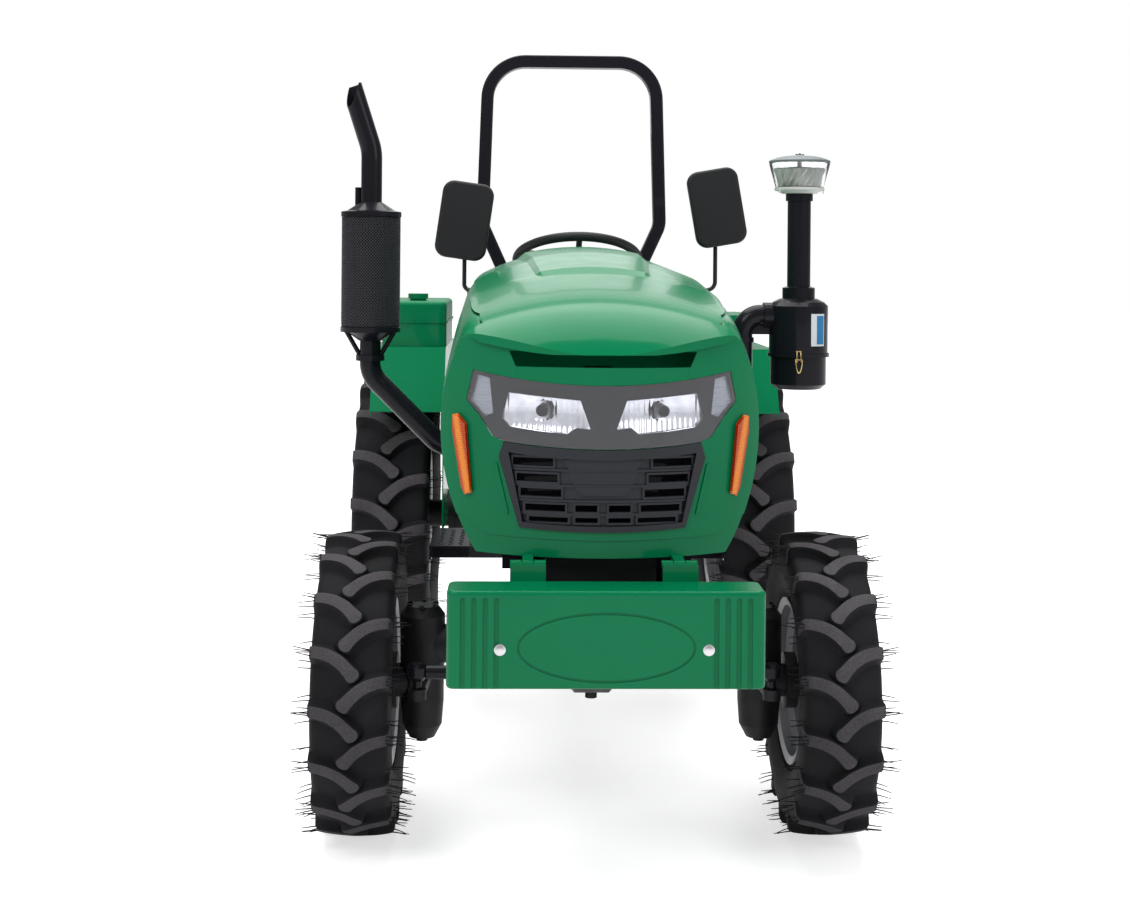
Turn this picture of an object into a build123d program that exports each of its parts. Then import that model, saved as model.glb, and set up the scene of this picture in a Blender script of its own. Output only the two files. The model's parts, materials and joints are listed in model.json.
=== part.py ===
from build123d import *
import math
import os

# Compact four-wheel-drive farm tractor, full size, in millimetres.
# X runs across (+X is the tractor's left), -Y is forward and +Z is up.
# The origin is on the ground, at the middle of the overall box.

# ---------------------------------------------------------------- driving dimensions
WHEELBASE = 1629.0
NOSE_REACH = 640.0            # bumper face ahead of the front axle
TAIL_REACH = 765.0            # lower-link ends behind the rear axle
FRONT_TRACK = 1070.0
REAR_TRACK = 1144.0
FRONT_TYRE_R = 345.0          # 6.00-14 lugged tyre
FRONT_TYRE_W = 176.0
FRONT_RIM_R = 178.0
REAR_TYRE_R = 478.0           # 9.50-20 lugged tyre
REAR_TYRE_W = 240.0
REAR_RIM_R = 254.0
SEAT_GAP = 0.3                # gap left where one piece seats on another
SLIDE_GAP = 0.5               # running gap round pins and shafts

FRONT_Y = NOSE_REACH - (NOSE_REACH + WHEELBASE + TAIL_REACH) / 2.0
REAR_Y = FRONT_Y + WHEELBASE
FRONT_X = FRONT_TRACK / 2.0
REAR_X = REAR_TRACK / 2.0
FRONT_Z = FRONT_TYRE_R
REAR_Z = REAR_TYRE_R

# ---------------------------------------------------------------- small helpers


def block(x0, x1, y0, y1, z0, z1):
    """A box between two corners."""
    return Pos((x0 + x1) / 2, (y0 + y1) / 2, (z0 + z1) / 2) * Box(x1 - x0, y1 - y0, z1 - z0)


def bar(start, end, radius):
    """A round bar from one point to another."""
    a, b = Vector(*start), Vector(*end)
    plane = Plane(origin=a, z_dir=b - a)
    return plane * Cylinder(radius, (b - a).length, align=(Align.CENTER, Align.CENTER, Align.MIN))


def tube(start, end, outer, inner):
    """A round tube from one point to another."""
    return bar(start, end, outer) - bar(start, end, inner)


def bent_bar(points, radii, section):
    """A section swept along straight runs joined by tangent arcs."""
    path = FilletPolyline(*points, radius=radii)
    return sweep(Plane(origin=path @ 0, z_dir=path % 0) * section, path=path)


def plate_yz(points, x0, x1):
    """A flat outline in the side view (y, z), from x0 to x1."""
    face = make_face(Polyline(*[(0, y, z) for y, z in points], close=True))
    return Pos(x0, 0, 0) * extrude(face, amount=x1 - x0, dir=(1, 0, 0))


def plate_xz(points, y0, y1):
    """A flat outline in the front view (x, z), from y0 to y1."""
    face = make_face(Polyline(*[(x, 0, z) for x, z in points], close=True))
    return Pos(0, y0, 0) * extrude(face, amount=y1 - y0, dir=(0, 1, 0))


def plate_xy(points, z0, z1):
    """A flat outline in plan (x, y), from z0 to z1."""
    face = make_face(Polyline(*[(x, y, 0) for x, y in points], close=True))
    return Pos(0, 0, z0) * extrude(face, amount=z1 - z0, dir=(0, 0, 1))


def turned(profile, y, z, x=0.0):
    """A closed profile of (x, radius) points turned about a cross axle at (y, z)."""
    face = make_face(Polyline(*[(px, 0, r) for px, r in profile], close=True))
    return Pos(x, y, z) * revolve(face, axis=Axis.X)


def turned_up(profile, x, y):
    """A closed profile of (radius, z) points turned about an upright axis at (x, y)."""
    face = make_face(Polyline(*[(r, 0, z) for r, z in profile], close=True))
    return Pos(x, y, 0) * revolve(face, axis=Axis.Z)


def turned_y(profile, x, y, z):
    """A closed profile of (radius, y) points turned about a lengthwise axis at (x, z)."""
    face = make_face(Polyline(*[(r, py, 0) for r, py in profile], close=True))
    return Pos(x, y, z) * revolve(face, axis=Axis.Y)


def joined(first, *others):
    """One solid from pieces that overlap."""
    result = first
    for other in others:
        result = result + other
    return result


def group(*shapes):
    """Separate solids that share one node."""
    solids = []
    for shape in shapes:
        solids.extend(shape.solids())
    return Compound(children=solids)


def flat_solid(points, faces):
    """A closed solid of flat faces, each a row of places in a list of points."""
    made = [Face(Wire.make_polygon([Vector(*points[i]) for i in face], close=True)) for face in faces]
    return Solid(Shell(made))


PARTS = {}


def keep(name, shape):
    """File a finished piece under its node's name."""
    PARTS[name] = shape


# ---------------------------------------------------------------- tyres and rims
BEAD_SHARE = 0.72             # bead's place, as a share of the half width
SHOULDER_SHARE = 0.90
BULGE_RISE = 0.45             # widest place, as a share of the way from bead to carcass top
SHOULDER_DROP = 8.0
LUG_SINK = 14.0               # lugs reach this far into the carcass
LUG_SPREAD = 7.0              # and are this much wider there, on each side
LUG = [  # share of the half width, lead round the tyre, half width, drop below the tyre's radius
    (-0.14, 55.0, 17.0, 0.0),
    (0.97, 0.0, 13.0, 7.0),
]
TREADS = {  # sides round the carcass, lugs a side, lug height
    "front": (34, 17, 22.0),
    "rear": (30, 19, 28.0),
}


def on_tyre(x, r, angle):
    """A point of a tyre centred on the origin; angle 0 is its top, and turns towards the back."""
    return (x, r * math.sin(angle), r * math.cos(angle))


def carcass(radius, width, bead, sides):
    """The tyre without its lugs, as flat facets round its axle."""
    half = width / 2.0
    rim_r = bead / math.cos(math.pi / sides)
    right = [(BEAD_SHARE * half, rim_r), (half, bead + BULGE_RISE * (radius - bead)),
             (SHOULDER_SHARE * half, radius - SHOULDER_DROP)]
    ring = right + [(-x, r) for x, r in reversed(right)]
    points, faces = [], []
    for k in range(sides):
        angle = 2 * math.pi * (k + 0.5) / sides
        points += [on_tyre(x, r, angle) for x, r in ring]
        after = (k + 1) % sides
        for i in range(len(ring)):
            j = (i + 1) % len(ring)
            faces.append([k * len(ring) + i, k * len(ring) + j, after * len(ring) + j, after * len(ring) + i])
    return flat_solid(points, faces)


def lug(side, start, radius, half, base_r):
    """One slanting lug, from its knob past the middle out to the shoulder."""
    points = []
    for share, lead, reach, drop in LUG:
        x = side * share * half
        low_x = side * SHOULDER_SHARE * half if share > SHOULDER_SHARE else x
        flat = (radius - drop) / math.cos(reach / radius)
        for r, w, px in ((flat, reach, x), (flat, -reach, x),
                         (base_r, -reach - LUG_SPREAD, low_x), (base_r, reach + LUG_SPREAD, low_x)):
            points.append(on_tyre(px, r, start + (w - lead) / radius))
    faces = [[0, 1, 2], [0, 2, 3], [4, 6, 5], [4, 7, 6]]
    for i in range(4):
        j = (i + 1) % 4
        faces += [[i, 4 + i, 4 + j], [i, 4 + j, j]]
    return flat_solid(points, faces)


def tyre(kind, mirror, radius, width, bead, x, y, z):
    sides, count, height = TREADS[kind]
    crown = radius - height
    pitch = 2 * math.pi / count
    bottom = math.pi + LUG[0][1] / radius
    body = carcass(crown, width, bead, sides)
    lugs = [lug(side, bottom + pitch * (k + 0.25 * (1 - side)), radius, width / 2.0, crown - LUG_SINK)
            for k in range(count) for side in (1, -1)]
    body = body.fuse(*lugs)
    if mirror < 0:
        body = body.mirror(Plane.YZ)
    return Pos(x, y, z) * body


RIM_SKIN = 5.0                # sheet thickness of the rims
RIM_LIP = 13.0                # lip height beside the bead
RIM_LEAN = 5.4                # the lips lean out with the tyre's sides
RIM_DROP = 20.0               # depth of the rim's well
WELL_SHARES = (0.40, 0.56)    # well's flat and its top edge, as shares of the half width
DISC_RISE = 20.0              # the dished disc's outer part stands this far out of its middle
HUB_BEVEL = 8.0


def rim(side, bead, width, disc_x, hub_r, bore_r, x, y, z):
    """Pressed rim: a band with a well and two lips, and a dished disc welded inside it."""
    half = BEAD_SHARE * width / 2.0 + RIM_SKIN + SEAT_GAP
    flat, edge = [share * width / 2.0 for share in WELL_SHARES]
    out = bead - SEAT_GAP
    under = out - RIM_SKIN
    lip = half + RIM_LEAN
    inside = [(-lip, bead + RIM_LIP), (-half, under), (-edge, under), (-flat, under - RIM_DROP)]
    outside = [(flat, out - RIM_DROP), (edge, out), (half - RIM_SKIN, out), (lip - RIM_SKIN, bead + RIM_LIP)]
    band = turned(inside + [(-px, r) for px, r in inside[::-1]] +
                  outside[::-1] + [(-px, r) for px, r in outside], y, z, x)
    well = under - RIM_DROP + 1
    dish, rise, skin = side * disc_x, side * DISC_RISE, side * RIM_SKIN * 1.2
    knee = hub_r + 0.35 * (well - hub_r)
    disc = turned([(dish, bore_r), (dish, hub_r), (dish + rise, knee), (dish + rise, well),
                   (dish + rise + skin, well), (dish + rise + skin, knee - HUB_BEVEL),
                   (dish + skin, hub_r - HUB_BEVEL), (dish + skin, bore_r)], y, z, x)
    return joined(band, disc)


HUB_FLANGE = 12.0             # thickness of the hub flange behind each disc
CAP_REACH = 34.0
WHEELS = [  # kind, side, tyre radius, width, bead, disc place, disc hub radius, bore, flange radius, x, y
    ("front", 1, FRONT_TYRE_R, FRONT_TYRE_W, FRONT_RIM_R, -12.0, 82.0, 40.0, 62.0, FRONT_X, FRONT_Y),
    ("front", -1, FRONT_TYRE_R, FRONT_TYRE_W, FRONT_RIM_R, -12.0, 82.0, 40.0, 62.0, -FRONT_X, FRONT_Y),
    ("rear", 1, REAR_TYRE_R, REAR_TYRE_W, REAR_RIM_R, -40.0, 105.0, 60.0, 78.0, REAR_X, REAR_Y),
    ("rear", -1, REAR_TYRE_R, REAR_TYRE_W, REAR_RIM_R, -40.0, 105.0, 60.0, 78.0, -REAR_X, REAR_Y),
]

for kind, side, radius, width, bead, disc_x, hub_r, bore_r, flange_r, wx, wy in WHEELS:
    hand = "left" if side > 0 else "right"
    keep(kind + "_tyre_" + hand, tyre(kind, side, radius, width, bead, wx, wy, radius))
    face = wx + side * disc_x
    hub = bar((face - side * HUB_FLANGE, wy, radius), (face, wy, radius), flange_r)
    cap = turned([(0, 0), (0, bore_r + 1), (side * (CAP_REACH - HUB_BEVEL), bore_r + 1),
                  (side * CAP_REACH, bore_r - HUB_BEVEL), (side * CAP_REACH, 0)], wy, radius, face)
    keep(kind + "_rim_" + hand, joined(rim(side, bead, width, disc_x, hub_r, bore_r, wx, wy, radius), hub, cap))

# ---------------------------------------------------------------- front axle, knuckles, steering
PIVOT_Z = 430.0               # oscillation axis of the front axle
KINGPIN_X = 395.0
KNUCKLE_TOP = 384.0           # joint plane between the axle's end casing and the knuckle
CASING_R = 52.0
NECK_R = 32.0
TRUNNION_R = 30.0
TRUNNION_END = 140.0          # trunnions reach this far ahead of and behind the beam
BEAM_R = 44.0
DIFF_R = 112.0
ARM_REACH = 195.0             # steering arms ahead of the kingpins
TIE_Z = 412.0
TIE_R = 11.0
REAR_ARM = 120.0              # cylinder arm behind the right kingpin
CYL_Y = 107.0                 # steering cylinder's line behind the axle
CYL_Z = 412.0
CYL_R = 22.0

beam = bar((-KINGPIN_X, FRONT_Y, PIVOT_Z), (KINGPIN_X, FRONT_Y, PIVOT_Z), BEAM_R)
diff = turned([(-95, 0), (-95, 55), (-40, DIFF_R), (40, DIFF_R), (95, 55), (95, 0)], FRONT_Y, PIVOT_Z)
trunnions = bar((0, FRONT_Y - TRUNNION_END, PIVOT_Z), (0, FRONT_Y + TRUNNION_END, PIVOT_Z), TRUNNION_R)
neck_boss = bar((0, FRONT_Y - 100, PIVOT_Z), (0, FRONT_Y + 100, PIVOT_Z), TRUNNION_R + 18)
drain = bar((0, FRONT_Y, PIVOT_Z - DIFF_R - 14), (0, FRONT_Y, PIVOT_Z - DIFF_R + 10), 14)
axle = joined(beam, diff, trunnions, neck_boss, drain)
CASING_TOP = 520.0
for side in (1, -1):
    kx = side * KINGPIN_X
    casing = turned_up([(0, KNUCKLE_TOP + SLIDE_GAP), (CASING_R, KNUCKLE_TOP + SLIDE_GAP),
                        (CASING_R, CASING_TOP - 22), (CASING_R - 16, CASING_TOP),
                        (0, CASING_TOP)], kx, FRONT_Y)
    axle = axle + casing
    axle = axle - bar((kx, FRONT_Y, KNUCKLE_TOP - 5), (kx, FRONT_Y, KNUCKLE_TOP + 30), NECK_R + SLIDE_GAP)

barrel_x0, barrel_x1 = -300.0, -112.0
cyl_lug = block(-140, -112, FRONT_Y + 30, FRONT_Y + CYL_Y, CYL_Z - 12, CYL_Z + 12)
barrel = bar((barrel_x0, FRONT_Y + CYL_Y, CYL_Z), (barrel_x1, FRONT_Y + CYL_Y, CYL_Z), CYL_R)
rod_bore = bar((barrel_x0 - 1, FRONT_Y + CYL_Y, CYL_Z), (-150, FRONT_Y + CYL_Y, CYL_Z), 9 + SLIDE_GAP)
axle = joined(axle, cyl_lug, barrel) - rod_bore
keep("front_axle", axle)

ARM_TOP = TIE_Z - 36.0        # steering arms lie under the tie rod's ball joints
KNUCKLE_FOOT = 214.0
SPINDLE_R = 38.0


def knuckle(side):
    kx = side * KINGPIN_X
    face = side * (FRONT_X - 12.0 - HUB_FLANGE - SLIDE_GAP)
    column = turned_up([(0, KNUCKLE_FOOT), (30, KNUCKLE_FOOT), (46, KNUCKLE_FOOT + 30), (50, 300),
                        (50, KNUCKLE_TOP), (NECK_R, KNUCKLE_TOP), (NECK_R, KNUCKLE_TOP + 28),
                        (0, KNUCKLE_TOP + 28)], kx, FRONT_Y)
    plug = bar((kx, FRONT_Y, KNUCKLE_FOOT - 10), (kx, FRONT_Y, KNUCKLE_FOOT + 5), 13)
    casing = bar((kx + side * (CASING_R + 6), FRONT_Y, FRONT_Z), (side * (FRONT_X - 55), FRONT_Y, FRONT_Z), 64)
    spindle = bar((kx, FRONT_Y, FRONT_Z), (face, FRONT_Y, FRONT_Z), SPINDLE_R)
    arm = plate_xy([(kx - 26, FRONT_Y), (kx - 16, FRONT_Y - ARM_REACH), (kx + 16, FRONT_Y - ARM_REACH),
                    (kx + 26, FRONT_Y)], ARM_TOP - 20, ARM_TOP)
    eye = bar((kx, FRONT_Y - ARM_REACH, ARM_TOP - 24), (kx, FRONT_Y - ARM_REACH, ARM_TOP), 20)
    body = joined(column, plug, casing, spindle, arm, eye)
    if side < 0:
        rear_arm = plate_xy([(kx - 26, FRONT_Y), (kx - 16, FRONT_Y + REAR_ARM),
                             (kx + 16, FRONT_Y + REAR_ARM), (kx + 26, FRONT_Y)], ARM_TOP - 20, ARM_TOP)
        rear_eye = bar((kx, FRONT_Y + REAR_ARM, ARM_TOP - 24), (kx, FRONT_Y + REAR_ARM, ARM_TOP), 20)
        body = joined(body, rear_arm, rear_eye)
    return body


keep("knuckle_left", knuckle(1))
keep("knuckle_right", knuckle(-1))

tie_y = FRONT_Y - ARM_REACH
tie = bar((-KINGPIN_X, tie_y, TIE_Z), (KINGPIN_X, tie_y, TIE_Z), TIE_R)
for side in (1, -1):
    kx = side * KINGPIN_X
    joint_cup = turned_up([(0, TIE_Z - 18), (14, TIE_Z - 18), (22, TIE_Z - 8), (22, TIE_Z + 12),
                           (14, TIE_Z + 20), (0, TIE_Z + 20)], kx, tie_y)
    stud = bar((kx, tie_y, ARM_TOP + SEAT_GAP), (kx, tie_y, TIE_Z), 9)
    sleeve = bar((side * (KINGPIN_X - 90), tie_y, TIE_Z), (side * (KINGPIN_X - 20), tie_y, TIE_Z), 15)
    tie = joined(tie, joint_cup, stud, sleeve)
keep("tie_rod", tie)

cyl_y = FRONT_Y + CYL_Y
rod = bar((-KINGPIN_X, cyl_y, CYL_Z), (-235, cyl_y, CYL_Z), 9)
rod_eye = bar((-KINGPIN_X, cyl_y, CYL_Z - 14), (-KINGPIN_X, cyl_y, CYL_Z + 14), 20)
rod_pin = bar((-KINGPIN_X, cyl_y, ARM_TOP + SEAT_GAP), (-KINGPIN_X, cyl_y, CYL_Z + 20), 9)
keep("steering_rod", joined(rod, rod_eye, rod_pin))

# ---------------------------------------------------------------- front support and bumper
RAIL_X = 172.0                # outer face of the side rails
RAIL_T = 18.0
RAIL_Z0 = 520.0
RAIL_Z1 = 650.0
SUPPORT_FRONT = FRONT_Y - 500.0
SUPPORT_BACK = FRONT_Y + 170.0
DECK_T = 16.0

rails = [block(s * RAIL_X if s < 0 else RAIL_X - RAIL_T, s * (RAIL_X - RAIL_T) if s < 0 else RAIL_X,
               SUPPORT_FRONT, SUPPORT_BACK, RAIL_Z0, RAIL_Z1) for s in (1, -1)]
front_plate = block(-RAIL_X, RAIL_X, SUPPORT_FRONT, SUPPORT_FRONT + 20, RAIL_Z0, RAIL_Z1)
deck = block(-RAIL_X + 1, RAIL_X - 1, SUPPORT_FRONT, SUPPORT_BACK, RAIL_Z0, RAIL_Z0 + DECK_T)
HANGER_T = 24.0
HANGER_Y = DIFF_R + 2.0
deck = deck - block(-125, 125, FRONT_Y - HANGER_Y, FRONT_Y + HANGER_Y, RAIL_Z0 - 1, RAIL_Z0 + DECK_T + 1)
back_plate = block(-RAIL_X, RAIL_X, SUPPORT_BACK - 20, SUPPORT_BACK, RAIL_Z0, RAIL_Z0 + 70)
support = joined(rails[0], rails[1], front_plate, deck, back_plate)
for hy in (-HANGER_Y - HANGER_T, HANGER_Y):
    y0 = FRONT_Y + hy
    hanger = plate_xz([(-95, RAIL_Z0 + 2), (-52, PIVOT_Z), (-36, PIVOT_Z - 42), (36, PIVOT_Z - 42),
                       (52, PIVOT_Z), (95, RAIL_Z0 + 2)], y0, y0 + HANGER_T)
    support = support + hanger
support = support - bar((0, FRONT_Y - 300, PIVOT_Z), (0, FRONT_Y + 300, PIVOT_Z), TRUNNION_R + SLIDE_GAP)
keep("front_support", support)

BUMPER_X = 313.0
BUMPER_Z0 = 492.0
BUMPER_Z1 = 684.0
BUMPER_T = 105.0
BUMPER_FRONT = FRONT_Y - NOSE_REACH
FLUTES = (281.0, 259.0, 237.0, 215.0)    # places of the upright grooves in the bumper's face
FLUTE_R = 5.0
FLUTE_DEEP = 4.0
FLUTE_TOP = 666.0
OVAL = (175.0, 69.0, 574.0)   # half width, half height and centre height of the pressed oval
OVAL_LINE = 5.0
OVAL_DEEP = 2.5
HINGE_Y = FRONT_Y - 505.0     # hood hinge axis
HINGE_Z = 712.0
HINGE_X = (118.0, 190.0)      # each hinge runs between these places
HINGE_R = 8.0
HINGE_PIN_R = 4.0
LEG_T = 10.0
LEG_FOOT = 560.0

slab = block(-BUMPER_X, BUMPER_X, BUMPER_FRONT, BUMPER_FRONT + BUMPER_T, BUMPER_Z0, BUMPER_Z1)
slab = fillet(slab.edges().filter_by(Axis.Z), 16)
bumper = fillet(slab.faces().sort_by(Axis.Y)[0].edges(), 8)
oval = Ellipse(OVAL[0], OVAL[1]) - Ellipse(OVAL[0] - OVAL_LINE, OVAL[1] - OVAL_LINE)
bumper = bumper - Pos(0, BUMPER_FRONT + OVAL_DEEP, OVAL[2]) * (Rot(90, 0, 0) * extrude(oval, amount=20))
for place in FLUTES:
    for px in (-place, place):
        bumper = bumper - block(px - FLUTE_R, px + FLUTE_R, BUMPER_FRONT - 1, BUMPER_FRONT + FLUTE_DEEP,
                                BUMPER_Z0 - 1, FLUTE_TOP)
        bumper = bumper - bar((px, BUMPER_FRONT - 1, FLUTE_TOP), (px, BUMPER_FRONT + FLUTE_DEEP, FLUTE_TOP), FLUTE_R)
stem_y0 = BUMPER_FRONT + BUMPER_T - 1
bumper = bumper + block(-110, 110, stem_y0, SUPPORT_FRONT, RAIL_Z0 + 20, RAIL_Z1 - 20)
third = (HINGE_X[1] - HINGE_X[0]) / 3.0
for side in (1, -1):
    lo, hi = sorted((side * HINGE_X[0], side * HINGE_X[1]))
    leg = block(lo, hi, stem_y0, stem_y0 + LEG_T, LEG_FOOT, HINGE_Z)
    foot = block(lo, hi, stem_y0, HINGE_Y + 4, HINGE_Z - 4, HINGE_Z + 4)
    ears = [bar((lo, HINGE_Y, HINGE_Z), (lo + third - 1, HINGE_Y, HINGE_Z), HINGE_R),
            bar((hi - third + 1, HINGE_Y, HINGE_Z), (hi, HINGE_Y, HINGE_Z), HINGE_R)]
    gap = bar((lo + third - 1, HINGE_Y, HINGE_Z), (hi - third + 1, HINGE_Y, HINGE_Z), HINGE_R + 3)
    pin = bar((lo, HINGE_Y, HINGE_Z), (hi, HINGE_Y, HINGE_Z), HINGE_PIN_R)
    bumper = joined(bumper, leg, foot, *ears) - gap + pin
keep("bumper", bumper)

# ---------------------------------------------------------------- hood
HOOD_FRONT = FRONT_Y - 470.0
HOOD_BACK = FRONT_Y + 800.0
HOOD_SKIN = 4.0
HOOD_SECTIONS = [  # y behind the front axle, half widths at bottom, waist and shoulder, shoulder z, crown z, corner
    (-495.0, 250.0, 338.0, 258.0, 1076.0, 1106.0, 38.0),
    (-430.0, 252.0, 339.0, 277.0, 1147.0, 1188.0, 50.0),
    (-340.0, 255.0, 340.0, 288.0, 1188.0, 1236.0, 56.0),
    (-200.0, 258.0, 341.0, 293.0, 1216.0, 1267.0, 61.0),
    (50.0, 263.0, 341.0, 297.0, 1245.0, 1299.0, 66.0),
    (400.0, 270.0, 341.0, 300.0, 1268.0, 1338.0, 70.0),
    (810.0, 275.0, 341.0, 300.0, 1276.0, 1356.0, 80.0),
]
SMOOTH_ROWS = 5               # rows of the rounded front; straight runs join the rest
HOOD_FLOOR = 700.0
HOOD_WAIST = 930.0
NOSE_R = 470.0                # plan radius of the nose face
NOSE_WIDE = 400.0
CAP_LIFT = 3.0                # the hood's top cap stands this proud of the sides
CAP_LEAD = 12.0               # and its lip this far ahead of the nose
FLOOR_SINK = 60.0             # the inside runs on below the floor
LEAST_CORNER = 6.0


def hood_section(row, inset):
    y, bottom, waist, shoulder, shoulder_z, crown_z, corner = row
    b = (bottom - inset, 0, HOOD_FLOOR)
    w = (waist - inset, 0, HOOD_WAIST)
    s = (shoulder - inset, 0, shoulder_z - inset)
    c = (0, 0, crown_z - inset)
    mirrored = [(-p[0], 0, p[2]) for p in (b, w, s)]
    lines = [Line(mirrored[0], b), ThreePointArc(b, w, s), ThreePointArc(s, c, mirrored[2]),
             ThreePointArc(mirrored[2], mirrored[1], mirrored[0])]
    face = make_face(lines)
    corners = face.vertices().group_by(Axis.Z)[-1]
    return Pos(0, FRONT_Y + y, 0) * fillet(corners, max(corner - inset, LEAST_CORNER))


FORMS = {}


def hood_form(inset, lead=0.0):
    """The hood's closed outer form, moved in by inset, its nose moved ahead by lead."""
    if (inset, lead) not in FORMS:
        FORMS[inset, lead] = made_form(inset, lead)
    return FORMS[inset, lead]


def made_form(inset, lead):
    faces = [hood_section(row, inset) for row in HOOD_SECTIONS]
    body = loft(faces[:SMOOTH_ROWS]) + loft(faces[SMOOTH_ROWS - 1:], ruled=True)
    front = HOOD_FRONT + inset - lead
    arc_y = front + NOSE_R - math.sqrt(NOSE_R ** 2 - NOSE_WIDE ** 2)
    far = HOOD_BACK + 50
    plan = make_face([ThreePointArc((-NOSE_WIDE, arc_y, 0), (0, front, 0), (NOSE_WIDE, arc_y, 0)),
                      Polyline((NOSE_WIDE, arc_y, 0), (NOSE_WIDE, far, 0), (-NOSE_WIDE, far, 0),
                               (-NOSE_WIDE, arc_y, 0))])
    return body & (Pos(0, 0, HOOD_FLOOR - 100) * extrude(plan, amount=900, dir=(0, 0, 1)))


# Side views: y behind the front axle, height.
HOOD_EDGE = [(-560.0, 716.0), (-330.0, 716.0), (-180.0, 775.0), (-60.0, 800.0), (60.0, 940.0),
             (780.0, 962.0), (900.0, 962.0)]
CAP_SEAM = [(-560.0, 1134.0), (-470.0, 1134.0), (-404.0, 1156.0), (-362.0, 1195.0), (-300.0, 1212.0),
            (0.0, 1243.0), (400.0, 1272.0), (900.0, 1280.0)]
SEAM_WIDE = 5.0               # groove under the cap's edge
SEAM_DEEP = 2.0
HOOD_WIDE = 450.0


def side_region(line, z):
    """Everything between a side-view line and a height, right across the hood."""
    points = [(FRONT_Y + y, pz) for y, pz in line]
    return plate_yz([(points[0][0], z)] + points + [(points[-1][0], z)], -HOOD_WIDE, HOOD_WIDE)


outer = hood_form(0.0)
cap_form = hood_form(-CAP_LIFT, CAP_LEAD - CAP_LIFT)
inner = hood_form(HOOD_SKIN)
inner = inner + (Pos(0, 0, -FLOOR_SINK) * inner)
above = side_region(CAP_SEAM, 1500.0)
seam = side_region([(y, z - SEAM_WIDE) for y, z in CAP_SEAM], 1500.0) - above
skin = (outer - inner - above) - (seam - hood_form(SEAM_DEEP))
skin = skin - side_region(HOOD_EDGE, 500.0)
behind = block(-HOOD_WIDE, HOOD_WIDE, HOOD_BACK, HOOD_BACK + 100, 500, 1500)
skin = skin - behind
cap = (cap_form - inner - behind) & side_region([(y, z + SEAT_GAP) for y, z in CAP_SEAM], 1500.0)

NOSE_Y0 = FRONT_Y - 600.0
NOSE_Y1 = FRONT_Y - 180.0
NOSE_HIGH = 500.0


def nose_prism(edges, amount=0.0):
    """An outline seen from the front (x, z), grown by amount and pushed through the nose."""
    face = make_face(edges)
    if amount:
        face = offset(face, amount=amount, kind=Kind.INTERSECTION)
    return Pos(0, NOSE_Y1, 0) * (Rot(90, 0, 0) * extrude(face, amount=NOSE_Y1 - NOSE_Y0, dir=(0, 0, 1)))


def nose_round(depth):
    """The nose's upright rounded face, this deep under it."""
    centre = Pos(0, HOOD_FRONT + NOSE_R, HOOD_FLOOR)
    return centre * Cylinder(NOSE_R - depth, NOSE_HIGH, align=(Align.CENTER, Align.CENTER, Align.MIN))


def closed(*points):
    """Straight edges round an outline."""
    return Polyline(*points, close=True)


def bowed(half, top, bottom):
    """Both halves of an outline: straight sides, with a bowed top and bottom edge."""
    side = [(x, z) for x, z in half]
    mirrored = [(-x, z) for x, z in side[::-1]]
    return [ThreePointArc(mirrored[-1], (0, top), side[0]), Polyline(*side),
            ThreePointArc(side[-1], (0, bottom), mirrored[0]), Polyline(*mirrored)]


LAMP_HALF = [(272.0, 1098.0), (286.0, 1034.0), (258.0, 1003.0), (229.0, 961.0), (207.0, 952.0)]
LAMP_MIDDLE = (1071.0, 940.0)           # top and bottom of the lamp band at its middle
GRILLE_HALF = [(206.0, 951.0), (216.0, 919.0), (173.0, 776.0)]
GRILLE_MIDDLE = (939.0, 770.0)
FIELD_HALF = [(196.0, 930.0), (166.0, 787.0)]
FIELD_MIDDLE = (918.0, 782.0)
AIR_SLOT = [(-196.0, 1140.0), (196.0, 1140.0), (182.0, 1108.0), (-182.0, 1108.0)]
CREASE = [(360.0, 812.0), (291.0, 786.0), (242.0, 756.0), (0.0, 752.0), (-242.0, 756.0), (-291.0, 786.0),
          (-360.0, 812.0), (-360.0, 600.0), (360.0, 600.0)]
CREASE_DEEP = 2.0
BEAD = [(220.0, 905.0), (226.0, 905.0), (201.0, 802.0), (195.0, 802.0)]
BEAD_HIGH = 3.0

lamp_edges = bowed(LAMP_HALF, *LAMP_MIDDLE)
grille_edges = bowed(GRILLE_HALF, *GRILLE_MIDDLE)
skin = skin - (nose_prism(closed(*CREASE)) - hood_form(CREASE_DEEP))
proud = nose_round(-BEAD_HIGH) - nose_round(HOOD_SKIN / 2.0)
for side in (1, -1):
    skin = skin + (proud & nose_prism(closed(*[(side * x, z) for x, z in BEAD])))
skin = skin - nose_prism(grille_edges, SEAT_GAP) - nose_prism(lamp_edges, SEAT_GAP)
skin = skin - (nose_prism(closed(*AIR_SLOT)) - above)

SILL_HALF = 178.0             # the strip under the air slot is a pressing of its own
SILL_Z = (1060.0, 1120.0)


def sill_zone(half):
    """The space round the strip between the lamps and the air slot."""
    return block(-half, half, NOSE_Y0, NOSE_Y1, *SILL_Z)


keep("slot_sill", skin & sill_zone(SILL_HALF))
skin = skin - sill_zone(SILL_HALF + SEAT_GAP)

SWELL = [  # raised panel on the cap: y behind the front axle, base half width, crown z, height over the cap
    (-20.0, 128.0, 1291.0, 0.5),
    (70.0, 140.0, 1303.5, 10.0),
    (400.0, 156.0, 1339.0, 11.0),
    (800.0, 175.0, 1356.5, 11.0),
]
SWELL_SLOPE = 14.0
SWELL_SINK = 5.0


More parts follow.
